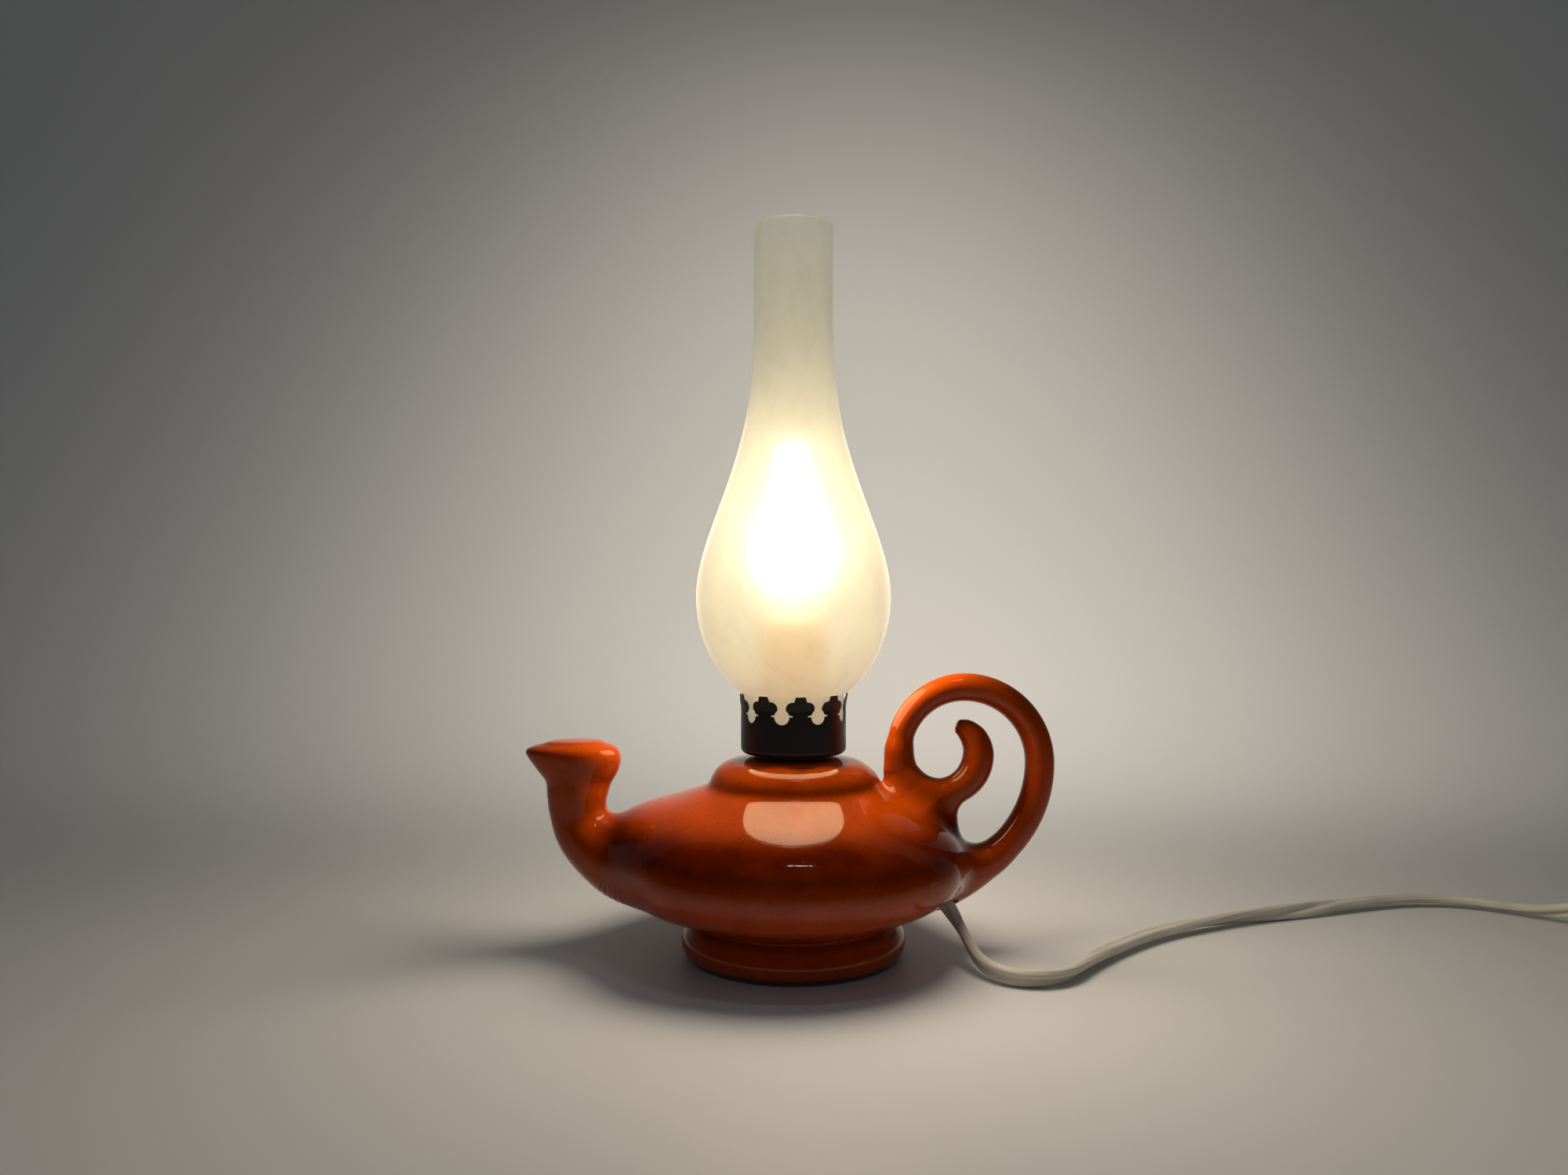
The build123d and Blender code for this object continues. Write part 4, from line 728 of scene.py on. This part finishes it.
class LAMP_OT_bowl(bpy.types.Operator):
    """Build the glazed bowl with its spout and scroll handle"""

    bl_idname = "lamp.bowl"
    bl_label = "Glazed bowl"

    def execute(self, context):
        settings = context.scene.lamp_bowl
        shape = bowl_shape(settings)
        piece = new_piece("glazed_bowl", *bowl_start(shape))
        spacing = settings.skin_spacing * 1
        piece.modifiers.new("skin", "REMESH").voxel_size = spacing
        settle(piece)
        self.pull_on(piece.data, shape, settings.joint_softness / MM)
        self.cut_hole(piece)
        piece.data.shade_smooth()
        self.fire(piece.data, shape, settings.joint_softness / MM)
        piece.data.materials.clear()
        piece.data.materials.append(orange_glazed_earthenware(settings))
        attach(piece, "lamp")
        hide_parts("ceramic_body")
        return {"FINISHED"}

    def pull_on(self, mesh, shape, reach):
        """Moves each vertex along the slope of the distance on to the surface, and sponges the creases."""
        points = vertex_places(mesh)
        for _ in range(PULL_ROUNDS):
            here, slope = distance_and_slope(points, shape, reach)
            steep = np.maximum((slope * slope).sum(-1), PULL_STEEPNESS)
            points -= np.clip(here / steep, -PULL_LONGEST, PULL_LONGEST)[:, None] * slope
        x, z, size = CREASES.T
        near = np.hypot(points[:, None, 0] - x, points[:, None, 2] - z) / size
        soft = np.exp(-near.min(1) ** 4)
        points = self.sponge(mesh, points, soft)
        mesh.vertices.foreach_set("co", (points * MM).ravel())
        # Pool carries the painted shade below the shoulder, sponged the share of sponging
        for name, values in (("pool", self.painted_shade_share(points)), ("sponged", soft)):
            mesh.attributes.new(name, "FLOAT", "POINT").data.foreach_set("value", values)
        mesh.update()

    def painted_shade_share(self, points):
        """Share of painted shade in the glaze's colour: most under the shoulder, less at the foot, on spout
        and handle.
        """
        # The band of painted shade: darkest just under the shoulder, lighter towards the foot
        most, lessened = 0.85, 0.7
        run = most * smooth_ramp(points[:, 2], 61, 50) - lessened * smooth_ramp(points[:, 2], 50, 32)
        side, fade, weakest = 80, 12, 0.25
        return run * np.clip((side - np.abs(points[:, 0])) / fade, weakest, 1)

    def sponge(self, mesh, points, soft):
        """Smooths the creases as a wet sponge does: vertices move towards the middle of their neighbours."""
        ends = np.empty(len(mesh.edges) * 2, dtype=int)
        mesh.edges.foreach_get("vertices", ends)
        ends = ends.reshape(-1, 2)
        ends = np.concatenate([ends, ends[:, ::-1]])
        count = np.bincount(ends[:, 0], minlength=len(points))
        moving = soft > SPONGE_LEAST
        ends = ends[moving[ends[:, 0]]]
        for _ in range(SPONGE_STROKES):
            total = [np.bincount(ends[:, 0], points[ends[:, 1], axis], len(points)) for axis in range(3)]
            middle = np.stack(total, axis=-1)[moving] / count[moving, None]
            points[moving] += SPONGE_PULL * soft[moving, None] * (middle - points[moving])
        return points

    def fire(self, mesh, shape, reach):
        """Gives the glaze the true slope of its surface as normals, so that reflections stay clean."""
        normals = read_vectors(mesh.vertex_normals, "vector")
        soft = np.empty(len(mesh.vertices))
        mesh.attributes["sponged"].data.foreach_get("value", soft)
        here, slope = distance_and_slope(vertex_places(mesh), shape, reach)
        off, level = 0.1, 0.3
        on_skin = (np.abs(here) < off) | (soft > SPONGE_LEAST)
        outside = on_skin & (np.linalg.norm(slope, axis=1) > level)
        true = unit(slope[outside])
        normals[outside] = unit(true + soft[outside, None] * (normals[outside] - true))
        mesh.normals_split_custom_set_from_vertices(normals.tolist())

    def cut_hole(self, piece):
        """Cuts the cord's hole out of the bowl."""
        grid = cord_hole()
        cutter = new_piece("cord_hole", grid, grid_faces(*grid.shape[:2]))
        modifier = piece.modifiers.new("hole", "BOOLEAN")
        modifier.operation = "DIFFERENCE"
        modifier.object = cutter
        settle(piece)
        bpy.data.objects.remove(cutter)


def chimney_profile(wall):
    """Closed profile (r, z) of the chimney: up its outside, over the rim and down its inside.

    The outer curve is drawn smoothly through base, belly and throat, and the inner one lies a wall inside it.
    """
    seat, low, top = 80.1, 1.2, 208.0
    base, throat = 19.9, 15.8
    curve = fair_curve([(base, 22.7), (38.6, 58.6), (30.9, 93.4), (19.3, 130.6), (throat, 174.0)],
                       [direction(32.0), (0, 1)], 28)
    outer = np.concatenate([[(base, low), (base, 6.0), (base, 12.0), (base, 18.0)], curve,
                            [(throat, 190.0), (throat, top)]])
    along = unit(np.gradient(outer, axis=0))
    inner = outer + wall * np.stack([-along[:, 1], along[:, 0]], axis=-1)
    turn = np.linspace(0, np.pi, 9)[1:-1, None]
    rim = (throat - wall / 2, top) + wall / 2 * np.concatenate([np.cos(turn), 1.2 * np.sin(turn)], axis=1)
    foot = (base - wall / 2, low) - wall / 2 * np.concatenate([np.cos(turn), 1.3 * np.sin(turn)], axis=1)
    return np.concatenate([outer, rim, inner[::-1], foot]) + (0, seat)


class LAMP_OT_chimney(bpy.types.Operator):
    """Build the frosted glass chimney"""

    bl_idname = "lamp.chimney"
    bl_label = "Frosted chimney"

    def execute(self, context):
        settings = context.scene.lamp_chimney
        grid = revolve(chimney_profile(settings.wall / MM), 160)
        piece = new_piece("chimney_glass", grid, grid_faces(*grid.shape[:2], rows_close=True))
        piece.data.materials.append(frosted_glass(settings))
        piece.visible_shadow = False
        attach(piece, "chimney")
        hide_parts("chimney")
        return {"FINISHED"}


def route_line(name, points):
    """Points in metres along a route: a NURBS spline with the route's points as its control points."""
    curve = bpy.data.curves.new(name, "CURVE")
    curve.dimensions = "3D"
    spline = curve.splines.new("NURBS")
    points = np.array(points, dtype=float) * MM
    spline.points.add(len(points) - 1)
    spline.points.foreach_set("co", np.concatenate([points, np.ones((len(points), 1))], axis=1).ravel())
    spline.order_u = 3
    spline.use_endpoint_u = True
    spline.resolution_u = 8
    holder = bpy.data.objects.new(name, curve)
    bpy.context.collection.objects.link(holder)
    mesh = final_mesh(holder)
    line = read_vectors(mesh.vertices, "co")
    bpy.data.objects.remove(holder)
    bpy.data.curves.remove(curve)
    bpy.data.meshes.remove(mesh)
    return line


def coil_route():
    """Control points of the coil: half circles whose radius changes by half a pitch each, two layers.

    Half turn k goes clockwise about a centre that keeps its start on the last point. Five go inwards, one
    climbs by a pitch, four and a part go outwards. Control points stand out by 1 / (0.75 + 0.25 cos step) so
    that the smooth line between them has the true radius.
    """
    step, per_half, layer = math.radians(15), 12, 5
    out = 1 / (0.75 + 0.25 * math.cos(step))
    inward = COIL_RADIUS - COIL_PITCH / 2 * np.arange(layer)
    climb = inward[-1] - COIL_PITCH / 2
    outward = climb + COIL_PITCH / 2 * np.arange(1, layer)
    radii = np.concatenate([inward, [climb], outward, [COIL_RADIUS]])
    side = np.where(np.arange(len(radii)) % 2 == 0, 1.0, -1.0)
    starts = np.concatenate([[COIL_RADIUS], COIL_RADIUS + np.cumsum(-2 * side * radii)[:-1]])
    centres = starts - side * radii
    share = np.arange(per_half)[None, :] * step
    x = centres[:, None] + out * side[:, None] * radii[:, None] * np.cos(share)
    y = -out * side[:, None] * radii[:, None] * np.sin(share)
    rise = np.repeat(np.repeat(COIL_HEIGHTS, (layer, layer + 1))[:, None], per_half, axis=1)
    rise[layer] = COIL_HEIGHTS[0] + COIL_PITCH * (1 - np.cos(share[0])) / 2
    left_off, stub_length = 4, 7
    turns = np.stack([x, y, rise], axis=-1).reshape(-1, 3)[:-left_off]
    last = math.radians(105)
    reach = COIL_RADIUS * side[-1]
    end = np.array([centres[-1] + reach * math.cos(last), -reach * math.sin(last)])
    ahead = np.array([-math.sin(last), -math.cos(last)]) * side[-1]
    stub = [(*(end + stub_length * ahead), COIL_HEIGHTS[1])]
    local = np.concatenate([turns, stub])
    turned = (local[:, 0] + 1j * local[:, 1]) * np.exp(1j * math.radians(COIL_TURNED))
    return np.stack([turned.real + COIL_CENTRE[0], turned.imag + COIL_CENTRE[1], local[:, 2]], axis=-1)


def twin_section(width, thickness, count=40):
    """Closed section of a flat twin cord: two round cores side by side, with a groove between them.

    Half height at width share u is the upper of the two cores' circles, filled a little at the groove.
    """
    spread, fill, edge_round = -0.35, 0.34, 6
    angle = np.linspace(0, 2 * np.pi, count, endpoint=False)
    across = np.cos(angle) * np.abs(np.cos(angle)) ** spread
    core = thickness / 2
    centre = width / 2 - core
    height = np.sqrt(np.maximum(core**2 - (np.abs(across) * width / 2 - centre) ** 2, (fill * core) ** 2))
    edge = np.clip((1 - np.abs(across)) * edge_round, 0, 1)
    return np.stack([across * width / 2, np.sign(np.sin(angle)) * height * np.sqrt(edge)], axis=-1)


def flat_tube(line, twist, section):
    """Section carried along a line: c + s cos t * side + s sin t * up, turned by a twist t at each place."""
    along = unit(np.gradient(line, axis=0))
    side = unit(np.cross(along, (0.0, 0.0, 1.0)))
    up = np.cross(side, along)
    wide = np.cos(twist)[:, None] * side + np.sin(twist)[:, None] * up
    thin = np.cross(along, wide)
    flat = section[None, :, :1] * wide[:, None, :]
    deep = section[None, :, 1:] * thin[:, None, :]
    return capped(line, line[:, None, :] + flat + deep)


def nodes_named(*starts):
    """CAD nodes whose names start with one of some words."""
    return [node for name, node in frame["nodes"].items() if name.startswith(starts)]


class LAMP_OT_cord(bpy.types.Operator):
    """Build the twin cord from the bowl to the switch and from the switch to the plug"""

    bl_idname = "lamp.cord"
    bl_label = "Twin cord"

    def execute(self, context):
        settings = context.scene.lamp_cord
        sheath = soft_pvc_sheath(settings)
        section = twin_section(settings.width, settings.thickness) / MM
        switch = nodes_named("switch_", "case_", "rocker_", "plunger_", "contact_", "neutral_")
        self.lay("cord_to_switch", ROUTE_TO_SWITCH, TWIST_TO_SWITCH, section, sheath, ["cord_run"],
                 "fitting", switch)
        route = np.concatenate([ROUTE_TO_COIL, coil_route(), ROUTE_TO_PLUG])
        nodes = ["cord_lead", "cord_coil", "cord_tail"]
        self.lay("cord_to_plug", route, TWIST_TO_PLUG, section, sheath, nodes,
                 "plug", nodes_named("plug_", "cord_tie"))
        return {"FINISHED"}

    def lay(self, name, route, turns, section, sheath, nodes, far_end, pieces):
        """One free length of cord, with its twist in degrees given at lengths along it in millimetres."""
        line = route_line(name, route)
        along = lengths_along(line) / MM
        twist = np.radians(np.interp(along, turns[:, 0], turns[:, 1]))
        grid = flat_tube(line / MM, twist, section)
        piece = new_piece(name, grid, grid_faces(*grid.shape[:2]))
        piece.data.materials.append(sheath)
        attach(piece, "lamp")
        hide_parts(*nodes)


# Finishes by material slot: name, colour, second colour, roughness, millimetres of grain or tool marks
METALS = {
    "brass": ("turned_brass", "#C9A24C", "#8A6A2A", 0.24, 0.4),
    "steel": ("zinc_plated_steel", "#BFC1C2", "#8E8F8E", 0.30, 0.4),
    "spring_steel": ("drawn_spring_steel", "#8F9294", "#5F6163", 0.32, 0.3),
}
PLASTICS = {
    "switch_plastic": ("ivory_moulded_abs", "#D8D0BC", "#BFB499", 0.38, 0.7),
    "black_plastic": ("black_moulded_nylon", "#151413", "#2A2724", 0.42, 0.7),
    "holder_plastic": ("cream_moulded_urea_resin", "#E2B566", "#C48E3E", 0.34, 0.9),
    "steatite": ("pressed_steatite", "#E6DFD0", "#CFC4AF", 0.6, 0.5),
    "rocker_plastic": ("brown_moulded_abs", "#5B3A24", "#3C2617", 0.34, 0.7),
    "plug_plastic": ("ivory_moulded_pvc", "#D2CAB6", "#B7AC94", 0.45, 0.9),
}


class LAMP_OT_finishes(bpy.types.Operator):
    """Give the metal, plastic, felt and bulb parts their finishes"""

    bl_idname = "lamp.finishes"
    bl_label = "Finishes"

    def execute(self, context):
        stage = context.scene.lamp_stage
        finishes = {slot: worked_metal(*look) for slot, look in METALS.items()}
        finishes.update({slot: moulded_plastic(*look) for slot, look in PLASTICS.items()})
        finishes.update({
            "felt": wool_felt(), "black_metal": lacquered_sheet_steel(), "bulb_glass": opal_bulb_glass(stage),
            "filament": glowing_tungsten(stage), "cord_pvc": bpy.data.materials["ivory_extruded_pvc"],
        })
        for entry in frame["record"]["subparts"]:
            node = frame["nodes"][entry["node"]]
            finish = finishes.get(entry["material_slot"])
            if finish is not None:
                node.data.materials.clear()
                node.data.materials.append(finish)
        frame["nodes"]["bulb_glass"].visible_shadow = False
        return {"FINISHED"}


class LAMP_OT_stage(bpy.types.Operator):
    """Set up floor, backdrop, lights and camera"""

    bl_idname = "lamp.stage"
    bl_label = "Stage"

    def execute(self, context):
        settings = context.scene.lamp_stage
        cords = [bpy.data.objects[name] for name in ("cord_to_switch", "cord_to_plug")]
        lit = bpy.data.collections.new("lit_floor")
        for piece in (self.sweep(settings), *cords, *nodes_named("switch_", "plug_")):
            lit.objects.link(piece)
        self.bulb_light(settings)
        self.belly_light()
        self.floor_light(settings, lit)
        self.wall_light(lit)
        self.strip_light()
        self.room_light(context.scene, settings)
        self.camera(context.scene)
        context.scene.view_settings.view_transform = "Standard"
        return {"FINISHED"}

    def sweep(self, settings):
        """Floor that rises to a wall behind: a line carried across, with a quarter circle between the two."""
        half, top, radius, start = 4200, 3200, 850, 300
        wall = start + radius
        turn = np.linspace(0, np.pi / 2, 40)
        bend = np.stack([start + radius * np.sin(turn), radius - radius * np.cos(turn)], axis=-1)
        flat = np.linspace((-half, 0), (start - 20, 0), 16)
        upright = np.linspace((wall, radius + 30), (wall, top), 6)
        line = np.concatenate([flat, bend, upright])
        across = np.linspace(-half, half, 24)
        grid = np.stack(np.broadcast_arrays(across[None, :], line[:, :1], line[:, 1:]), axis=-1)
        floor = new_piece("paper_sweep", grid, grid_faces(len(line), len(across), columns_close=False))
        floor.data.materials.append(pale_paper(settings))
        return floor

    def light(self, name, kind, place, power, colour, size, unseen=()):
        """Adds one light at a place in millimetres, unseen by some kinds of ray."""
        data = bpy.data.lights.new(name, kind)
        data.energy = power
        data.color = colour[:3]
        setattr(data, "size" if kind == "AREA" else "shadow_soft_size", size)
        lamp = bpy.data.objects.new(name, data)
        lamp.location = np.array(place) * MM
        for ray in unseen:
            setattr(lamp, "visible_" + ray, False)
        bpy.context.collection.objects.link(lamp)
        return lamp

    def leave_out(self, lamp, names):
        """Keeps a light off some pieces."""
        kept_dark = bpy.data.collections.new(lamp.name + "_leaves_out")
        for name in names:
            kept_dark.objects.link(bpy.data.objects[name])
        for entry in kept_dark.collection_objects:
            entry.light_linking.link_state = "EXCLUDE"
        lamp.light_linking.receiver_collection = kept_dark

    def bulb_light(self, settings):
        """Light of the bulb, kept off the glass, which glows by itself, and off floor and cord."""
        bulb = self.light("bulb_light", "POINT", (0, 0, 150), settings.bulb_power, settings.bulb_light, 0.018,
                          unseen=("camera", "glossy", "transmission"))
        self.leave_out(bulb, ("chimney_glass", "bulb_glass", "paper_sweep", "cord_to_switch", "cord_to_plug"))

    def belly_light(self):
        """Glowing belly of the chimney as the glaze mirrors it, far brighter than a picture can show."""
        glow = self.light("belly_light", "POINT", (0, 0, 127), 0.32, linear("#FFDCA6"), 0.0375,
                          unseen=("camera", "diffuse", "transmission"))
        glow.data.use_soft_falloff = False
        self.leave_out(glow, ("chimney_glass", "bulb_glass", "gallery"))

    def floor_light(self, settings, lit):
        """Softer light of the whole chimney on the floor and the cord alone."""
        glow = self.light("floor_light", "POINT", (28, 0, 190), 1.95, settings.bulb_light, 0.075,
                          unseen=("camera", "glossy", "transmission"))
        glow.light_linking.receiver_collection = lit

    def wall_light(self, lit):
        """Soft wide pool of light on backdrop, floor and cord alone, from above the lamp."""
        pool = self.light("wall_light", "SPOT", (110, 255, 690), 18.5, linear("#FFF8EC"), 0.05)
        pool.data.spot_size = math.radians(134)
        pool.data.spot_blend = 1.0
        pool.rotation_euler = (math.radians(50.5), 0, 0)
        pool.light_linking.receiver_collection = lit

    def strip_light(self):
        """Thin strip nearly overhead that leaves a small bright dash on the glaze."""
        strip = self.light("strip_light", "AREA", (60, -330, 1250), 0.4, linear("#FFFDF8"), 0.24)
        strip.data.shape = "RECTANGLE"
        strip.data.size_y = 0.012
        strip.rotation_euler = (math.radians(16), 0, 0)

    def room_light(self, scene, settings):
        """Even cool light from all round, which the glaze doesn't mirror."""
        world = bpy.data.worlds.new("room")
        scene.world = world
        world.use_nodes = True
        connect(world.node_tree, world.node_tree.nodes["Background"],
                {"Color": linear("#CFDAE8"), "Strength": settings.room_light})
        world.cycles_visibility.glossy = False

    def camera(self, scene):
        """Level camera in front of the lamp."""
        lens = bpy.data.cameras.new("camera")
        lens.lens = CAMERA_LENS
        lens.sensor_width = CAMERA_SENSOR
        lens.clip_start = 0.01
        camera = bpy.data.objects.new("camera", lens)
        camera.location = np.array(CAMERA_PLACE) * MM
        camera.rotation_euler = (math.pi / 2, 0, 0)
        bpy.context.collection.objects.link(camera)
        scene.camera = camera


class LAMP_PT_panel(bpy.types.Panel):
    """Lists the lamp's settings and builders"""

    bl_idname = "LAMP_PT_panel"
    bl_label = "Table lamp"
    bl_space_type = "VIEW_3D"
    bl_region_type = "UI"
    bl_category = "Table lamp"

    def draw(self, context):
        for name in GROUPS:
            group = getattr(context.scene, name)
            column = self.layout.column(heading=name)
            for field in group.bl_rna.properties:
                if field.identifier not in ("name", "rna_type"):
                    column.prop(group, field.identifier)
        for operator in OPERATORS:
            self.layout.operator(operator.bl_idname)


GROUPS = {
    "lamp_bowl": LampBowlSettings,
    "lamp_chimney": LampChimneySettings,
    "lamp_cord": LampCordSettings,
    "lamp_stage": LampStageSettings,
}
OPERATORS = (LAMP_OT_cord, LAMP_OT_bowl, LAMP_OT_chimney, LAMP_OT_finishes, LAMP_OT_stage)


def register():
    """Registers the settings, builders and panel."""
    for kind in (*GROUPS.values(), *OPERATORS, LAMP_PT_panel):
        bpy.utils.register_class(kind)
    for name, group in GROUPS.items():
        setattr(bpy.types.Scene, name, PointerProperty(type=group))


def unregister():
    """Removes what register added."""
    for name in GROUPS:
        delattr(bpy.types.Scene, name)
    for kind in (LAMP_PT_panel, *OPERATORS, *GROUPS.values()):
        bpy.utils.unregister_class(kind)


def main():
    """Builds the lamp and its stage."""
    register()
    bpy.ops.lamp.cord()
    bpy.ops.lamp.bowl()
    bpy.ops.lamp.chimney()
    bpy.ops.lamp.finishes()
    bpy.ops.lamp.stage()


if __name__ == "__main__":
    main()
